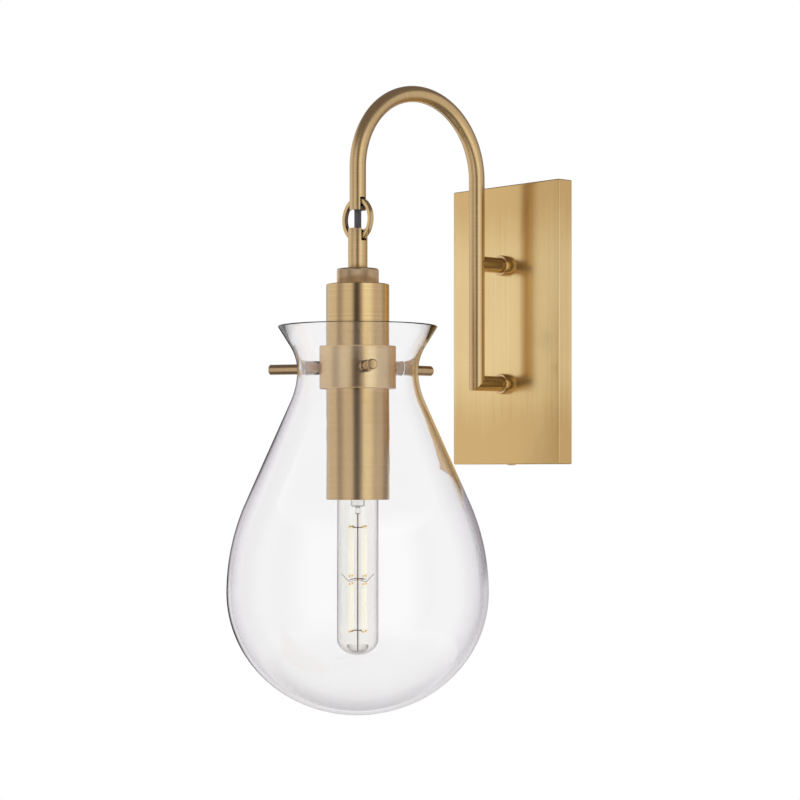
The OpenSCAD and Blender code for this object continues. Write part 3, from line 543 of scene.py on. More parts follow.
def carved(bm, *cutters):
    """The mesh of bm with each cutter's bmesh taken out of it."""
    block = placed("carving", as_mesh("carving", bm))
    tools = [placed("cutter", as_mesh("cutter", cutter)) for cutter in cutters]
    for tool in tools:
        cut = block.modifiers.new("cut", "BOOLEAN")
        cut.operation, cut.solver, cut.object = "DIFFERENCE", "EXACT", tool
    ready = bpy.context.evaluated_depsgraph_get()
    result = bpy.data.meshes.new_from_object(block.evaluated_get(ready))
    for helper in [block, *tools]:
        bpy.data.objects.remove(helper)
    return result


def rod(radius, length, segments=48):
    """A plain rod along Z from the origin, in millimetres, as a cutter or a start."""
    bm = bmesh.new()
    bmesh.ops.create_cone(
        bm, cap_ends=True, segments=segments, radius1=radius * MM, radius2=radius * MM,
        depth=length * MM,
    )
    return moved(bm, (0, 0, length / 2 * MM))


def box_between(lo, hi):
    """A box between two corners, in metres."""
    bm = bmesh.new()
    bmesh.ops.create_cube(bm, size=1)
    size, centre = Vector(hi) - Vector(lo), (Vector(hi) + Vector(lo)) / 2
    bmesh.ops.scale(bm, vec=size, verts=bm.verts)
    bmesh.ops.recalc_face_normals(bm, faces=bm.faces)
    return moved(bm, centre)


def joined(bm, other):
    """Adds other's faces to bm."""
    mesh = as_mesh("joined", other)
    bm.from_mesh(mesh)
    bpy.data.meshes.remove(mesh)


AXIS = Vector((0, AXIS_Y, 0))


def stand_on_axis(bm):
    """Moves a piece that was spun about Z to the cup's axis."""
    return moved(bm, AXIS)


def rings(co):
    """Ring number of a piece turned about the cup's axis: height, and radius on flat faces."""
    return co.z + math.hypot(co.x, co.y - AXIS_Y)


def from_axis(co, point, direction):
    """How far a point lies along an axis, and how far from it."""
    along = (co - point).dot(direction)
    return along, (co - point - direction * along).length


def across(node):
    """Half a node's width along X, and its heights, in millimetres."""
    lo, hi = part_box(node)
    return (hi.x - lo.x) / 2 / MM, lo.z / MM, hi.z / MM


# %% [markdown]
# ## The socket cup and its collar band
# The cup is a drawn brass tube, closed at the top and open below. Its top edge is rounded and
# its lower edge is a thin rim that shows the wall. The collar band is a thicker ring with
# broken edges, drilled for the three pins.

# %% Turn the cup and the band
PIPE_R = 4.9                    # the holes for the threaded pipes
CUP_WALL, CUP_TOP, CUP_EDGE, CUP_RIM_EDGE = 1.2, 2.0, 0.9, 0.35
cup_r, cup_low, cup_top = across("socket_cup")
cup = spun([
    (PIPE_R, cup_top), (cup_r, cup_top), (cup_r, cup_low), (cup_r - CUP_WALL, cup_low),
    (cup_r - CUP_WALL, cup_top - CUP_TOP), (PIPE_R, cup_top - CUP_TOP),
])
round_edges(cup, CUP_RIM_EDGE, segments=2, keep=lambda e: e.verts[0].co.z < (cup_low + 1) * MM)
round_edges(cup, CUP_EDGE, segments=4, keep=beyond(cup_r - 0.1, cup_top - 0.1))
brass("socket_cup_shell", stand_on_axis(cup), "pendant", ["socket_cup"], brush=rings)

PIN_ANGLES = {"rear": 88, "left": 208, "right": 328}
PIN_HOLE, BAND_EDGE = 2.55, 0.7
BAND_DRILL = 20, 20             # where the band's drill starts, and how far it goes
band_r, band_low, band_top = across("shade_collar")
band_z = (band_low + band_top) / 2


def outward(angle):
    """The level direction at an angle round the cup's axis."""
    return Vector((math.cos(math.radians(angle)), math.sin(math.radians(angle)), 0))


def radial_rod(angle, radius, start, length, segments=48):
    """A rod pointing out from the cup's axis at the pins' height."""
    here = AXIS + outward(angle) * start * MM + up(band_z)
    return along_axis(rod(radius, length, segments), here, outward(angle))


band = spun([
    (cup_r + FIT, band_low), (band_r, band_low), (band_r, band_top), (cup_r + FIT, band_top),
])
round_edges(band, BAND_EDGE, keep=beyond(band_r - 0.1))
band_mesh = carved(
    stand_on_axis(band), *[radial_rod(a, PIN_HOLE, *BAND_DRILL) for a in PIN_ANGLES.values()])
brass("collar_band", band_mesh, "pendant", ["shade_collar"], band_brass, brush=rings)
print("cup", round(2 * cup_r, 1), "mm across, band", round(2 * band_r, 1))

# %% [markdown]
# ## The thumb pins
# Each pin is a brass rod with a rounded tip and a thinner threaded end that screws into the
# band. A clear plastic bush keeps it off the glass. The thread is turned as a row of ridges.

# %% Turn the pins
PIN_THREAD, THREAD_PITCH, PIN_R, PIN_TIP = 2.5, 0.8, 4.0, 1.2
pin_start = band_r + SEAT
thread_start = cup_r + SEAT
pin_end = (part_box("thumb_pin_rear")[1].y - AXIS_Y) / MM / outward(PIN_ANGLES["rear"]).y
PIN_MIDDLE = AXIS + up(band_z)


def pin_outline():
    """Half outline of a pin, from the thread's end on the axis to the tip on the axis."""
    turns = int((pin_start - thread_start) / THREAD_PITCH)
    return (
        [(0, thread_start)]
        + ridges(PIN_THREAD, thread_start, THREAD_PITCH, turns)
        + [(PIN_THREAD - THREAD_DEPTH, pin_start), (PIN_R, pin_start), (PIN_R, pin_end - PIN_TIP)]
        + arc((PIN_R - PIN_TIP, pin_end - PIN_TIP), PIN_TIP, 15, 90, 5)
        + [(0, pin_end)])


for side, angle in PIN_ANGLES.items():
    pin = along_axis(spun(pin_outline(), 40, closed=False), PIN_MIDDLE, outward(angle))
    brass(f"pin_{side}_rod", pin, f"pin_{side}", [f"thumb_pin_{side}"], pin_brass,
          brush=lambda co, out=outward(angle): sum(from_axis(co, PIN_MIDDLE, out)))
print("pins", round(pin_end, 1), "mm from the axis to the tip")

# %% [markdown]
# ## The glass bell
# The bell has a flared mouth, a neck at the pins, a straight cone, and a bowl that closes
# below the bulb. Its outline is made of arcs that run into each other, drawn once for the
# outer face and once, thinner by the glass, for the inner face, and joined by a rounded lip.

# %% Spin the bell
GLASS, LIP, BELL_SEGMENTS = 3.0, 1.6, 110
NECK_R, NECK_DROP = 47.0, 2.0
FLARE_R, FLARE_ANGLE = 36.0, 32.0
WAIST_R, CONE_ANGLE = 57.6, 24.0
SHOULDER_R, BOWL_DEPTH = 173.0, 94.6
RIM_RISE = 31.7
bell_r, bell_low, _ = across("glass_shade")
neck_z = band_z - NECK_DROP
rim_z = band_z + RIM_RISE
cone, flare = math.radians(CONE_ANGLE), math.radians(FLARE_ANGLE)
both_bends = WAIST_R + SHOULDER_R
cone_length = (bell_r - NECK_R - both_bends * (1 - math.cos(cone))) / math.sin(cone)
bowl_z = neck_z - both_bends * math.sin(cone) - cone_length * math.cos(cone)
lip_length = (rim_z - neck_z - FLARE_R * math.sin(flare)) / math.cos(flare)


def rounded_end(radius, level, depth, steps):
    """A quarter of an ellipse, from radius at level down to the axis."""
    angles = [math.radians(90 * i / steps) for i in range(steps)]
    curve = [(radius * math.cos(angle), level - depth * math.sin(angle)) for angle in angles]
    return curve + [(0, level - depth)]


def bell_face(inset, lip_inset):
    """Outline of one face from the lip to the bottom, inset millimetres inside the outer one."""
    flare_middle = (NECK_R + FLARE_R, neck_z)
    points = []
    for i in range(21):
        share = i / 20
        reach = FLARE_R + lip_inset + (inset - lip_inset) * share
        points.append(arc(flare_middle, reach, 180 - FLARE_ANGLE * (1 - share), 180, 1)[0])
    lip = Vector(points[0]) + lip_length * Vector((math.sin(flare), math.cos(flare)))
    points.insert(0, tuple(lip))
    points += arc((NECK_R + WAIST_R, neck_z), WAIST_R + inset, 182, 180 + CONE_ANGLE, 14)
    points += arc((bell_r - SHOULDER_R, bowl_z), SHOULDER_R - inset, CONE_ANGLE, 0, 28)
    return points + rounded_end(bell_r - inset, bowl_z, BOWL_DEPTH - inset, 32)[1:]


outer, inner = bell_face(0, 0), bell_face(GLASS, LIP)
lip_middle = (Vector(outer[0]) + Vector(inner[0])) / 2
lip_tilt = math.degrees(math.atan2(outer[0][1] - inner[0][1], outer[0][0] - inner[0][0]))
lip = arc(tuple(lip_middle), LIP / 2, lip_tilt + 22.5, lip_tilt + 157.5, 6)
bell = spun(outer[::-1] + lip + inner, BELL_SEGMENTS, closed=False)
BUSH_R = PIN_R + 0.65
GLASS_DRILL = 38, 14            # where the glass's drill starts, and how far it goes
bell_mesh = carved(
    stand_on_axis(bell),
    *[radial_rod(a, BUSH_R + FIT, *GLASS_DRILL, 40) for a in PIN_ANGLES.values()])
finished("glass_bell", bell_mesh, "pendant", "clear_glass", bell_glass, ["glass_shade"], sharp=40)
print("bell", round(2 * bell_r, 1), "mm across; bottom at", round(bowl_z - BOWL_DEPTH, 1),
      "against the measured", round(bell_low, 1))

# %% [markdown]
# ## The bushes of the pins
# Where a pin passes through the glass it wears a clear soft bush, which reaches from the
# collar band out to just past the glass. Seen from the side it is a pale, milky sleeve.

# %% Turn the bushes
BUSH_STAND, BUSH_EDGE = 0.8, 0.2
bush_in, bush_end = PIN_R + FIT, NECK_R + BUSH_STAND
bushes = bmesh.new()
for angle in PIN_ANGLES.values():
    bush = spun([
        (bush_in, pin_start), (BUSH_R, pin_start), (BUSH_R, bush_end), (bush_in, bush_end)
    ], 48)
    round_edges(bush, BUSH_EDGE, segments=2)
    along_axis(bush, PIN_MIDDLE, outward(angle))
    joined(bushes, bush)
finished("pin_bush_sleeves", bushes, "pendant", "bush_clear", bush_clear, ["pin_bushes"])

# %% [markdown]
# ## The wall plate
# The plate is sheet brass folded into a shallow tray, with its corners closed and its front
# edges slightly rounded. A cube with its front edges bevelled gives the outside, and a
# smaller box carved out from behind leaves the sheet's thickness. The posts' pipes and the
# two screws of the strap pass through drilled holes.

# %% Fold the plate
SHEET, PLATE_EDGE = 1.6, 1.1
plate_lo, plate_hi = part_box("wall_plate")
plate = box_between(plate_lo, plate_hi)
front_y = plate_lo.y


def pipe_hole(z, depth, length):
    """A hole for a post's pipe, which starts depth millimetres in front of the plate."""
    return along_axis(rod(PIPE_R, length), (0, front_y - depth * MM, z), (0, 1, 0))


def is_front_corner(edge):
    """True along the front's four edges and the four folds behind its corners."""
    return min(v.co.y for v in edge.verts) < front_y + 0.1 * MM


round_edges(plate, PLATE_EDGE, segments=4, keep=is_front_corner)
POST_Z = middle("upper_post", 2)
hollow = box_between(
    plate_lo + SHEET * MM * Vector((1, 1, 1)), plate_hi + Vector((-SHEET, PAST, -SHEET)) * MM)
cuts = [hollow, *[pipe_hole(z, PAST, SHEET + 2 * PAST) for z in (POST_Z, -POST_Z)]]
SCREW_Y = middle("plate_screws", 1)
SCREW_R, SCREW_PLAY = 1.85, 0.2
for z in (plate_lo.z, plate_hi.z):
    hole = rod(SCREW_R + SCREW_PLAY, 2 * PAST, 24)
    cuts.append(along_axis(hole, (0, SCREW_Y, z - PAST * MM), (0, 0, 1)))
finished("plate_tray", carved(plate, *cuts), "root", "plate_brass", plate_brass, ["wall_plate"])
print("plate", [round(v / MM, 1) for v in plate_hi - plate_lo], "mm")

# %% [markdown]
# ## The gooseneck
# One tube makes the long leg, the arch and the short leg. Its ring-shaped section is drawn
# once at the foot, pulled up, spun half a turn about the arch's centre and pulled down again,
# so the tube has a wall and open ends like the real one. The foot is then mitred for the joint
# with the lower post, and the other end is slotted for the link.

# %% Bend the tube
TUBE_R, TUBE_WALL = 6.35, 1.0
TUBE_SIDES, ARCH_STEPS = 64, 72
tube_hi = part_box("gooseneck_tube")[1]
LEG_Y = tube_hi.y - TUBE_R * MM
ARCH_Y = (LEG_Y + AXIS_Y) / 2
ARCH_R = (LEG_Y - AXIS_Y) / 2
ARCH_Z = tube_hi.z - TUBE_R * MM - ARCH_R
ARM_END = 82.2 * MM
FOOT = -POST_Z - 2.2 * TUBE_R * MM


def ring_faces(bm, outer_r, inner_r, sides):
    """A flat ring at the origin, facing along Z."""
    for radius in (outer_r, inner_r):
        bmesh.ops.create_circle(bm, segments=sides, radius=radius * MM)
    return bmesh.ops.bridge_loops(bm, edges=bm.edges)["faces"]


def pulled(bm, faces, step):
    """Extrudes faces by step and gives the faces at the new end."""
    made = bmesh.ops.extrude_face_region(bm, geom=faces)["geom"]
    verts = [part for part in made if isinstance(part, bmesh.types.BMVert)]
    bmesh.ops.translate(bm, verts=verts, vec=step)
    return [part for part in made if isinstance(part, bmesh.types.BMFace)]


gooseneck = bmesh.new()
section = ring_faces(gooseneck, TUBE_R, TUBE_R - TUBE_WALL, TUBE_SIDES)
moved(gooseneck, (0, LEG_Y, FOOT))
section = pulled(gooseneck, section, (0, 0, ARCH_Z - FOOT))
swung = swept(gooseneck, section, (0, ARCH_Y, ARCH_Z), (1, 0, 0), 180, ARCH_STEPS)
section = [part for part in swung if isinstance(part, bmesh.types.BMFace)]
pulled(gooseneck, section, (0, 0, ARM_END - ARCH_Z))
bmesh.ops.recalc_face_normals(gooseneck, faces=gooseneck.faces)


def mitre_block(side):
    """A block that covers one side of the mitre between the long leg and the lower post."""
    reach = 4 * TUBE_R * MM
    block = box_between((-reach, 0, -reach), (reach, side * reach, reach))
    return moved(rotated(block, -45, "X"), (0, LEG_Y, -POST_Z))


SLOT_W = 5.0
SLOT_TOP, SLOT_BOTTOM = 92.1 * MM, 58.3 * MM


def link_slot(low, high):
    """A slot through a tube's two walls for the link ring."""
    block = box_between(
        (-2 * TUBE_R * MM, -SLOT_W / 2 * MM, low), (2 * TUBE_R * MM, SLOT_W / 2 * MM, high))
    return stand_on_axis(block)


def tube_distance(co):
    """How far along the gooseneck a point lies."""
    if co.z >= ARCH_Z:
        return ARCH_Z + ARCH_R * math.atan2(co.z - ARCH_Z, co.y - ARCH_Y)
    if co.y > ARCH_Y:
        return co.z
    return ARCH_Z + math.pi * ARCH_R + ARCH_Z - co.z


neck = carved(gooseneck, mitre_block(1), link_slot(ARM_END - PAST * MM, SLOT_TOP))
brass("gooseneck_arm", neck, "root", ["gooseneck_tube"], arm_brass, brush=tube_distance)
print("arch radius", round(ARCH_R / MM, 1), "mm, leg", round(-LEG_Y / MM, 1), "mm from the wall")

# %% [markdown]
# ## The posts and their collars
# Two short posts of the same tube hold the long leg off the plate. The upper one is coped, so
# that its end wraps the leg, and the lower one is mitred to the leg's foot. Each sits on the
# plate in a turned collar with a broken edge.

# %% Cut the posts and turn the collars
BRAZE, PIPE_GRIP, COPE, COLLAR_EDGE = 0.05, 13.0, 40.0, 0.75


def post_rod(z, start):
    """A post along Y from start to the plate's front."""
    bm = rod(TUBE_R, (front_y - start) / MM, TUBE_SIDES)
    return along_axis(bm, (0, start, z), (0, 1, 0))


def post_bore(z):
    return pipe_hole(z, PIPE_GRIP, PIPE_GRIP + PAST)


def post_rings(co):
    return co.y


leg_cutter = moved(rod(TUBE_R + BRAZE, COPE, TUBE_SIDES), (0, LEG_Y, POST_Z - COPE / 2 * MM))
coped = carved(post_rod(POST_Z, LEG_Y), leg_cutter, post_bore(POST_Z))
brass("post_top", coped, "root", ["upper_post"], brush=post_rings)
mitred = carved(post_rod(-POST_Z, LEG_Y - 2 * TUBE_R * MM), mitre_block(-1), post_bore(-POST_Z))
brass("post_bottom", mitred, "root", ["lower_post"], brush=post_rings)

collar_lo, collar_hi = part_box("upper_collar")
COLLAR_R = (collar_hi.x - collar_lo.x) / 2 / MM
COLLAR_LEN = (collar_hi.y - collar_lo.y) / MM
for name, z in (("upper_collar", POST_Z), ("lower_collar", -POST_Z)):
    collar = spun([
        (TUBE_R + FIT, 0), (COLLAR_R, 0), (COLLAR_R, COLLAR_LEN), (TUBE_R + FIT, COLLAR_LEN)
    ])
    round_edges(collar, COLLAR_EDGE, segments=2, keep=beyond(TUBE_R + 1, 1))
    along_axis(collar, (0, front_y, z), (0, -1, 0))
    brass(name + "_ring", collar, "root", [name],
          brush=lambda co, z=z: co.y + math.hypot(co.x, co.z - z))

# %% [markdown]
# ## The plate's screws
# Two small brass screws hold the tray to the strap, one in its top edge and one below. Each is
# spun with a low domed head and a thread, and its driver's slot is carved out.

# %% Turn the screws
HEAD_R, HEAD_H, SCREW_LEN, SCREW_PITCH = 3.6, 0.9, 9.0, 0.9
SCREW_TAPER, GROOVE_SHIFT = 0.4, 0.1
DRIVER_SLOT, SLOT_TURN = 1.0, 35


def screw_outline():
    """Half outline of a screw that stands head up with its head's underside at 0."""
    sag = HEAD_H * 0.55
    dome = (HEAD_R ** 2 + sag ** 2) / (2 * sag)
    tilt = math.degrees(math.asin(HEAD_R / dome))
    return (
        [(0, -SCREW_LEN), (SCREW_R - SCREW_TAPER, -SCREW_LEN)]
        + ridges(SCREW_R, -SCREW_LEN, SCREW_PITCH, int(SCREW_LEN / SCREW_PITCH), GROOVE_SHIFT)
        + [(SCREW_R - THREAD_DEPTH, 0), (HEAD_R, 0), (HEAD_R, HEAD_H - sag)]
        + arc((0, HEAD_H - dome), dome, 90 - tilt, 90, 8)[1:])


screws = bmesh.new()
for side in (1, -1):
    head = spun(screw_outline(), 40, closed=False)
    reach = 1.2 * HEAD_R * MM
    slot = box_between(
        (-reach, -DRIVER_SLOT / 2 * MM, HEAD_H * 0.5 * MM),
        (reach, DRIVER_SLOT / 2 * MM, (HEAD_H + 1) * MM))
    screw = bmesh.new()
    screw.from_mesh(carved(head, slot))
    along_axis(rotated(screw, SLOT_TURN, "Z"), (0, SCREW_Y, side * plate_hi.z), (0, 0, side))
    joined(screws, screw)
brass("tray_screws", screws, "root", ["plate_screws"],
      brush=lambda co: math.hypot(co.x, co.y - SCREW_Y) + co.z)

# %% [markdown]
# ## The link
# A flat ring with broken edges links the arm to the stem, and a dark sleeve through its middle
# carries the wires. The ring stands in the slots of both tubes.

# %% Turn the ring and the sleeve
RING_R, RING_IN, RING_T, RING_EDGE = 17.0, 13.4, 3.6, 0.5
ring = spun([
    (RING_IN, -RING_T / 2), (RING_R, -RING_T / 2), (RING_R, RING_T / 2), (RING_IN, RING_T / 2)
])
round_edges(ring, RING_EDGE, segments=3)
ring_axis = Vector((0, 1, 0))
ring_centre = AXIS + Vector((0, 0, middle("link_ring", 2)))
along_axis(ring, ring_centre, ring_axis)


def ring_marks(co):
    depth, radius = from_axis(co, ring_centre, ring_axis)
    return radius + depth * 0.5


def ring_shade(co):
    """Painted shade: 1 on the ring's inner face, and less on its outer edges."""
    depth, radius = from_axis(co, ring_centre, ring_axis)
    edge = RING_EDGE * 0.9
    if radius < (RING_IN + RING_EDGE / 2) * MM:
        return 1
    return 0.75 if abs(depth) > (RING_T / 2 - edge) * MM and radius > (RING_R - edge) * MM else 0


# The ring's bore and outer edges take painted shade.
brass("link_ring_turned", ring, "link", ["link_ring"], brush=ring_marks, unbrushed=ring_shade)

sleeve_wide, sleeve_low, sleeve_high = across("link_sleeve")
stem_r, stem_low, stem_high = across("stem_tube")
SLEEVE_R, SLEEVE_TAPER, SLEEVE_EDGE = 2.75, 1.2, 0.5
sleeve = spun([
    (0, sleeve_low), (sleeve_wide, sleeve_low), (sleeve_wide, stem_high - SLEEVE_TAPER),
    (SLEEVE_R, stem_high), (SLEEVE_R, ARM_END / MM), (sleeve_wide, ARM_END / MM + SLEEVE_TAPER),
    (sleeve_wide, sleeve_high), (0, sleeve_high),
], 48, closed=False)
round_edges(sleeve, SLEEVE_EDGE, segments=3)
finished("wire_sleeve", stand_on_axis(sleeve), "link", "sleeve_black", plain["sleeve_rubber"],
         ["link_sleeve"])

# %% [markdown]
# ## The stem
# A short tube takes the ring in a slot at its top. At its foot it is threaded for the pipe
# that holds the cup, so only its upper part is hollow.

# %% Turn the stem
STEM_WALL, STEM_THREAD, STEM_EDGE = 1.5, 10.0, 0.35
stem = spun([
    (PIPE_R, stem_low), (stem_r, stem_low), (stem_r, stem_high), (stem_r - STEM_WALL, stem_high),
    (stem_r - STEM_WALL, stem_low + STEM_THREAD), (PIPE_R, stem_low + STEM_THREAD),
])
round_edges(stem, STEM_EDGE, segments=2, keep=beyond(stem_r - 2))
stem_mesh = carved(stand_on_axis(stem), link_slot(SLOT_BOTTOM, (stem_high + PAST) * MM))
brass("stem_turned", stem_mesh, "pendant", ["stem_tube"], arm_brass, brush=rings)
print("stem", round(stem_high - stem_low, 1), "mm long")

# %% [markdown]
# ## The knurled nut
# The nut above the cup is rolled with a diamond knurl. Its rim is spun as a fine grid, and
# every second vertex, as on a chessboard, is pushed in to the groove's depth. Folding each
# square between its two low corners turns the grid into rows of little pyramids.

# %% Roll the knurl
knurl_r, nut_low, nut_high = across("knurled_nut")
DIAMOND, GROOVE, NUT_CHAMFER = 1.5, 0.3, 0.9
columns = 4 * round(math.tau * knurl_r / DIAMOND / 2)
rolled_low, rolled_high = nut_low + NUT_CHAMFER / 2, nut_high - NUT_CHAMFER
rows = 2 * round((rolled_high - rolled_low) / DIAMOND)
levels = [rolled_low + (rolled_high - rolled_low) * i / rows for i in range(rows + 1)]
nut = spun(
    [(PIPE_R, nut_low), (knurl_r - NUT_CHAMFER / 2, nut_low)]
    + [(knurl_r, z) for z in levels]
    + [(knurl_r - NUT_CHAMFER, nut_high), (PIPE_R, nut_high)], columns)
low_points = []
for vert in nut.verts:
    if abs(vert.co.xy.length - knurl_r * MM) > 0.01 * MM:
        continue
    column = round((math.atan2(vert.co.y, vert.co.x) % math.tau) / math.tau * columns)
    row = round((vert.co.z / MM - rolled_low) / (rolled_high - rolled_low) * rows)
    if (column + row) % 2 or row in (0, rows):
        low_points.append(vert)
for vert in low_points:
    vert.co.xy *= 1 - GROOVE / knurl_r
bmesh.ops.connect_verts(nut, verts=low_points)
bmesh.ops.recalc_face_normals(nut, faces=nut.faces)
finished("knurled_nut_rolled", stand_on_axis(nut), "nut", "knurled_brass",
         knurled_finish("knurl_brass", knurl_r * MM, GROOVE * MM), ["knurled_nut"], sharp=25,
         brush=lambda co: math.hypot(co.x, co.y - AXIS_Y))
print(columns // 2, "diamonds round the nut,", rows // 2, "rows")

# %% [markdown]
# ## The bulb
# The bulb is a clear tube with a rounded end. Inside, a glass stem runs down from the cap, and
# a wire frame hangs from it with two tiers of four filament sticks. A small glass button at
# the bottom keeps the frame's end in the middle. Each glass is spun with both of its faces, so
# that it has a real wall for light to bend through.

# %% Blow the bulb's glass
BULB_WALL, BULB_DOME = 0.8, 12.5
THROAT, SWELL = 1.0, 15.0       # how far under the cap the throat ends and the tube begins
bulb_r, bulb_low, bulb_top = across("bulb_glass")
cap_low = across("bulb_cap")[1]
throat = across("bulb_mount")[0] + BULB_WALL


def bulb_face(inset):
    """Outline of one face of the bulb's glass, from its throat to its rounded end."""
    points = [(throat - inset, bulb_top)]
    for i in range(17):
        share = i / 16
        radius = throat + (bulb_r - throat) * (1 - math.cos(math.pi * share)) / 2
        points.append((radius - inset, cap_low - THROAT - (SWELL - THROAT) * share))
    return points + rounded_end(bulb_r - inset, bulb_low + BULB_DOME, BULB_DOME - inset, 24)


envelope = spun(bulb_face(0)[::-1] + bulb_face(BULB_WALL), 112, closed=False)
finished("bulb_envelope", stand_on_axis(envelope), "bulb", "bulb_clear", bulb_clear,
         ["bulb_glass"], sharp=60)

# %% [markdown]
# The stem of the bulb is a flared glass tube with a thinner one inside. Its foot is melted shut
# round the wire and ends in a bead. The real foot is pressed a little flat, but at this size it
# looks round, so the whole stem is spun.

# %% Melt the glass stem
mount_r, mount_low, mount_high = across("bulb_mount")
TUBE_OUT, STEM_GLASS, INNER_TUBE, INNER_WALL = 5.4, 0.7, 2.3, 0.6
FOOT_H, FOOT_ROUND, BEAD_R = 6.0, 1.4, 2.3
NECKING = [(2.0, 0.4), (1.5, 1.0), (1.9, 1.5)]  # radius and drop, between the foot and the bead
foot_top = mount_low + FOOT_H
foot_r, foot_z = TUBE_OUT - FOOT_ROUND, foot_top + FOOT_ROUND
bead_z = mount_low + BEAD_R
glass_stem = spun(
    [(mount_r - STEM_GLASS, mount_high), (mount_r, mount_high), (mount_r, mount_high - 2),
     (TUBE_OUT + 1.6, mount_high - 4), (TUBE_OUT, mount_high - 8)]
    + arc((foot_r, foot_z), FOOT_ROUND, 0, -80, 5)
    + [(radius, foot_top - drop) for radius, drop in NECKING]
    + arc((0, bead_z), BEAD_R, 35, -90, 8)
    + arc((0, foot_top + 2.6), TUBE_OUT - STEM_GLASS - FOOT_ROUND, -90, -50, 4)
    + arc((foot_r, foot_z), FOOT_ROUND - STEM_GLASS, -70, 0, 4)
    + [(TUBE_OUT - STEM_GLASS, mount_high - 8), (TUBE_OUT + 0.9, mount_high - 4.6),
       (mount_r - STEM_GLASS, mount_high - 2.8)], 64)
# The flange stays just inside the bulb's throat.
for vert in glass_stem.verts:
    vert.co.xy *= min(1, (mount_r - FIT) * MM / max(vert.co.xy.length, MM))
inner_tube = spun([
    (INNER_TUBE, foot_top + 5), (INNER_TUBE, mount_high - 2),
    (INNER_TUBE - INNER_WALL, mount_high - 2), (INNER_TUBE - INNER_WALL, foot_top + 5),
], 32)
joined(glass_stem, inner_tube)
finished("bulb_stem_glass", stand_on_axis(glass_stem), "bulb", "bulb_clear", stem_glass,
         ["bulb_mount"], sharp=50)

# %% [markdown]
# Each filament is a thin glass rod under a pale yellow coat, with a bare metal tip at both
# ends that is welded to the frame. The coat is slightly thicker than the tips.

# %% Hang the filament sticks
_, stick_bottom, stick_top = across("filament_sticks")
STICK_R, STICK_RING, STICKS, TIP, STICK_EDGE = 1.1, 7.6, 4, 1.7, 0.25
STICK_TURN = math.radians(-7)
TIER_UPPER, TIER_LOWER = 39.8, 38.5
tiers = [(stick_top - TIER_UPPER, stick_top), (stick_bottom, stick_bottom + TIER_LOWER)]


def stick(low, high):
    """One filament between two heights, with its thinner tips."""
    return spun([
        (0, low), (STICK_R * 0.6, low), (STICK_R * 0.6, low + TIP * 0.6), (STICK_R, low + TIP),
        (STICK_R, high - TIP), (STICK_R * 0.6, high - TIP * 0.6), (STICK_R * 0.6, high), (0, high),
    ], 20, closed=False)


def round_ring(k):
    """Where stick k stands, seen from the bulb's axis."""
    swing = STICK_TURN + math.tau * k / STICKS
    return Matrix.Rotation(swing, 3, "Z") @ Vector((STICK_RING * MM, 0, 0))


sticks = bmesh.new()
for low, high in tiers:
    for k in range(STICKS):
        filament = round_edges(stick(low, high), STICK_EDGE, segments=2, corner=30)
        joined(sticks, moved(filament, AXIS + round_ring(k)))


def from_tip(co):
    """How far a point lies from the nearer end of its own stick."""
    z = co.z / MM
    return min(min(abs(z - low), abs(z - high)) for low, high in tiers)


finished("filament_stick_set", sticks, "bulb", "phosphor", phosphor, ["filament_sticks"],
         brush=from_tip)

# %% [markdown]
# The frame is thin wire: a straight one down the middle and three four-armed stars, whose arms
# bend to the sticks' tips. Two finer props reach from the middle star nearly to the glass.
# Every wire is a small ring of points pulled along a curve.

# %% Bend the frame
WIRE_R, CENTRE_R, PROP_R = 0.3, 0.45, 0.2
STAR_LIFTS = -1.6, 0.9, 1.6     # how far each star's hub lies above its arms' ends
PROP_LINE = [(0.4, 0.0), (6.0, -1.5), (7.6, -0.6), (12.6, 4.6)]


def wire(points, radius=WIRE_R, sides=10):
    """A round wire of short straight pulls through points, in metres."""
    steps = [second - first for first, second in zip(points, points[1:])]
    bm = bmesh.new()
    bmesh.ops.create_circle(bm, cap_ends=True, segments=sides, radius=radius * MM)
    along_axis(bm, points[0], steps[0])
    end = list(bm.faces)
    for point, step, following in zip(points[1:], steps, steps[1:] + steps[-1:]):
        end = pulled(bm, end, step)
        bend = step.normalized().rotation_difference(following.normalized())
        if bend.angle > 1e-4:
            bmesh.ops.rotate(
                bm, cent=point, matrix=Matrix.Rotation(bend.angle, 3, bend.axis),
                verts=list({v for f in end for v in f.verts}))
    bmesh.ops.recalc_face_normals(bm, faces=bm.faces)
    return bm


frame_wires = bmesh.new()
_, frame_bottom, frame_top = across("filament_frame")
joined(frame_wires, wire([AXIS + up(frame_bottom), AXIS + up(frame_top)], CENTRE_R))
star_levels = [tiers[0][1], (tiers[0][0] + tiers[1][1]) / 2, tiers[1][0]]
for level, lift in zip(star_levels, STAR_LIFTS):
    hub = AXIS + up(level + lift)
    for out in map(round_ring, range(STICKS)):
        joined(frame_wires, wire([
            hub + out * 0.06, hub + out * 0.5, hub + out * 0.85 - up(lift * 0.5), hub + out - up(lift)
        ]))
for spread in (-sideways, sideways):
    line = [AXIS + spread * reach * MM + up(star_levels[1] + rise) for reach, rise in PROP_LINE]
    joined(frame_wires, wire(line, PROP_R))
finished("filament_frame_wires", frame_wires, "bulb", "lead_wire", plain["frame_wire"],
         ["filament_frame"], sharp=60)

# %% [markdown]
# ## The button
# A small clear bowl of glass fills the rounded end of the bulb.

# %% Press the button
BUTTON_R, BUTTON_RIM, BUTTON_DEPTH, BUTTON_WALL = 8.5, 7.6, 6.75, 1.0
button_floor = bulb_low + BUTTON_RIM - BUTTON_DEPTH + BUTTON_WALL


def bowl(radius, low, angles):
    """Points on a bowl whose rim is level with the button's rim."""
    top = bulb_low + BUTTON_RIM
    return [(radius * math.sin(math.radians(a)), top - (top - low) * math.cos(math.radians(a)))
            for a in angles]


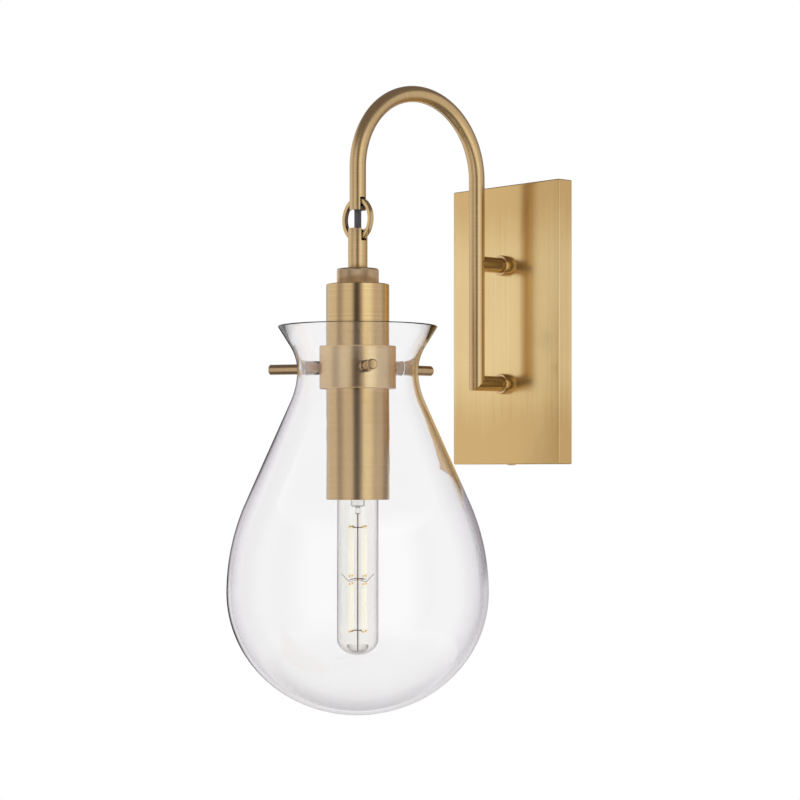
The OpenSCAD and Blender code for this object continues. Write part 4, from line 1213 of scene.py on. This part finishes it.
button = spun(
    bowl(BUTTON_R, button_floor - BUTTON_WALL, range(0, 91, 10))
    + bowl(BUTTON_R - BUTTON_WALL, button_floor, range(90, -1, -10)), 64, closed=False)
finished("button_bowl", stand_on_axis(button), "bulb", "bulb_clear", button_glass,
         ["filament_button"], sharp=50)

# %% [markdown]
# ## The pieces that stay as measured
# Pieces inside the plate, the tubes and the cup keep their measured shapes, because nothing
# finer of them could be seen. They only get their finishes.

# %% Finish the measured pieces
MEASURED = {
    "zinc_plating": [
        "mounting_strap", "post_pipes", "post_washers", "post_nuts", "socket_pipe", "cup_washer",
        "cup_locknut", "arm_cross_pin", "stem_cross_pin"],
    "green_plating": ["earth_screw"],
    "bare_copper": ["earth_lead"],
    "wire_jacket": ["wire_bushing", "arm_wires", "stem_wires"],
    "orange_shell": ["wire_connectors"],
    "black_resin": ["lampholder_body"],
    "new_brass": ["lampholder_cap", "screw_shell", "centre_contact", "terminal_screws"],
    "nickel_plating": ["bulb_cap", "bulb_contact"],
    "black_glass": ["bulb_insulator"],
}
for finish_name, nodes in MEASURED.items():
    for node in nodes:
        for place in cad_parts[node].material_slots:
            place.material = plain[finish_name]
print(sum(len(nodes) for nodes in MEASURED.values()), "measured pieces finished")

# %% [markdown]
# ## The studio
# Polished metal is only as good as what it reflects. The photograph's cup shows its studio as
# upright stripes, so a round wall of light is built here for polished things to reflect. Its
# brightness follows the direction round the object. Behind the object it also changes with
# height, because the outlines of the glass mirror that part: a dark card stands behind the
# brass, a narrow one behind the bowl, and none behind the bowl's foot. What glass mirrors is
# lighter than what metal mirrors, because the photograph's glass shows paler edges. Looked at
# straight through glass the wall is plain white, like the background, and it lights nothing
# that is dull.

# %% Build the wall of light
STUDIO_R, STUDIO_TOP, STUDIO_FOOT = 2.4, 2.4, -3.4
# Each stop is an angle round the object, in degrees from the camera towards the camera's right,
# and the light's strength there.
FRONT = [
    (-128, 0.84), (-89, 0.86), (-74, 0.45), (-64, 0.50), (-47, 0.86), (-22, 0.84), (-10, 0.08),
    (4, 0.08), (14, 0.55), (24, 1.18), (46, 1.14), (66, 0.70), (96, 0.72), (108, 0.48), (124, 0.28),
]
BEHIND_BRASS = [(-180, 0.10), (-161, 0.12), (-154, 0.70)], [(150, 0.30), (180, 0.20)]
BEHIND_BOWL = [(-180, 0.04), (-160, 0.05), (-155, 0.85)], [(140, 0.42), (148, 0.72), (180, 0.60)]
BEHIND_FOOT = [(-180, 0.85), (-150, 0.85)], [(140, 0.45), (150, 0.80), (180, 0.85)]
# The same heights as BEHIND_BRASS, as glass mirrors them until a ray has crossed many walls.
BEHIND_GLASS = [(-180, 0.45), (-161, 0.45), (-154, 0.70)], [(150, 0.50), (180, 0.45)]
MANY_WALLS = 8.5
DIM, DIM_IN_GLASS = 0.20, 0.75  # the ceiling and the ground, as metal and as glass mirror them
# The heights between which one light fades into the next.
CEILING_LEVEL, BOWL_LEVEL = (2.0, 1.1), (-0.18, -0.32)
FOOT_LEVEL, GROUND_LEVEL = (-0.6, -0.9), (-1.7, -2.6)


def stripe_colour(light):
    """Dark stripes lean to mauve, as the photograph's do."""
    return light, light * (0.87 + 0.13 * light), light * (0.99 + 0.01 * light)


studio = Finish("studio_light")
x, y, z = studio.axes()
direction = studio.maths("ARCTAN2", y - AXIS_Y, x)
share = (direction + math.radians(90 - VIEW_SIDE) + math.pi) * (1 / math.tau)
wrapped = studio.maths("FRACT", share)


def striped(behind):
    left, right = behind
    stops = [((angle + 180) / 360, stripe_colour(light)) for angle, light in left + FRONT + right]
    return studio.node("ValToRGB", {"stops": stops}, {"Fac": wrapped})


def below(level):
    """0 above a fade between two heights and 1 below it."""
    return studio.smooth_step(z, *level)


walls = studio.ray("Transmission Depth")
in_glass = studio.maths("GREATER_THAN", walls, 0.5)
few_walls = in_glass * studio.maths("LESS_THAN", walls, MANY_WALLS)
bare = studio.mix(stripe_colour(DIM), stripe_colour(DIM_IN_GLASS), in_glass)
behind_top = studio.mix(striped(BEHIND_BRASS), striped(BEHIND_GLASS), few_walls)
light = studio.mix(bare, behind_top, below(CEILING_LEVEL))
light = studio.mix(light, striped(BEHIND_BOWL), below(BOWL_LEVEL))
light = studio.mix(light, striped(BEHIND_FOOT), below(FOOT_LEVEL))
light = studio.mix(light, bare, below(GROUND_LEVEL))
mirrored = studio.maths("GREATER_THAN", studio.ray("Glossy Depth"), 0.5)
shown = studio.mix((1.0, 1.0, 1.0), light, mirrored)
studio.show(studio.node("Emission", {}, {"Color": shown, "Strength": 1.0}))
studio.tree.nodes.remove(studio.shader)


def staged(name, bm, material):
    """Places a bmesh with one material in the scene, for the studio round the object."""
    thing = placed(name, as_mesh(name, bm))
    thing.data.materials.append(material)
    return thing


wall = bmesh.new()
bmesh.ops.create_cone(
    wall, cap_ends=True, segments=128, radius1=STUDIO_R, radius2=STUDIO_R,
    depth=STUDIO_TOP - STUDIO_FOOT)
moved(wall, (0, AXIS_Y, (STUDIO_TOP + STUDIO_FOOT) / 2))
studio_wall = staged("studio_wall", wall, studio.material)
for ray in ("camera", "diffuse", "volume_scatter", "shadow"):
    setattr(studio_wall, "visible_" + ray, False)

# %% [markdown]
# The floor lies well below the light, as it would under a wall light. It is pale and plain,
# takes the shadow near the middle, and fades into the white behind it towards its rim. The
# world is white for what the camera, glass and metal see, and dimmer for what lights the
# surfaces. Two soft lamps give the plastic and the floor a gentle direction.

# %% Lay the floor and hang the lamps
FLOOR_DROP, FLOOR_R = 1.1, 2.2
floor_finish = Finish("floor_paint")
speckle = floor_finish.noise(floor_finish.place(), 30.0, detail=3.0)
floor_finish.surface(
    base_color=floor_finish.mix((0.80, 0.80, 0.80), (0.84, 0.84, 0.84), speckle), roughness=0.9)
x, y, _ = floor_finish.axes()
from_middle = x * x + (y - AXIS_Y) * (y - AXIS_Y)
faded = floor_finish.smooth_step(from_middle, 0.2, (FLOOR_R * 0.95) ** 2)
seen = floor_finish.ray("Is Camera Ray") + floor_finish.ray("Is Transmission Ray")
bright = floor_finish.node("Emission", {}, {"Color": (1.0, 1.0, 1.0), "Strength": 1.0})
paint = Value(floor_finish, floor_finish.shader.outputs[0])
floor_finish.show(floor_finish.node("MixShader", {}, {0: faded * seen, 1: paint, 2: bright}))
ground = bmesh.new()
bmesh.ops.create_circle(ground, cap_ends=True, segments=96, radius=FLOOR_R)
moved(ground, (0, AXIS_Y, cad_box[0][2] - FLOOR_DROP))
staged("floor", ground, floor_finish.material).visible_glossy = False

world = scene.world or bpy.data.worlds.new("world")
scene.world = world
sky = Graph(world)
seen = sky.ray("Is Camera Ray") + sky.ray("Is Glossy Ray") + sky.ray("Is Transmission Ray")
dull = sky.node("Background", {}, {"Color": (1.0, 1.0, 1.0), "Strength": 0.7})
white = sky.node("Background", {}, {"Color": (1.0, 1.0, 1.0), "Strength": 1.0})
sky.show(sky.node("MixShader", {}, {0: sky.maths("MINIMUM", seen, 1.0), 1: dull, 2: white}))

LAMP_REACH, LAMP_SIZE = 1.9, 1.2
for name, side, height, power in (("key", -40, 1.0, 14.0), ("fill", 60, 0.6, 8.0)):
    lamp_data = bpy.data.lights.new(name, "AREA")
    lamp_data.shape, lamp_data.size, lamp_data.energy = "SQUARE", LAMP_SIZE, power
    lamp = placed(name, lamp_data)
    swing = turn + math.radians(side)
    lamp.location = (LAMP_REACH * math.sin(swing), AXIS_Y - LAMP_REACH * math.cos(swing), height)
    lamp.rotation_euler = (AXIS - lamp.location).to_track_quat("-Z", "Y").to_euler()
    lamp.visible_glossy = lamp.visible_transmission = False
scene.view_settings.view_transform = "Standard"
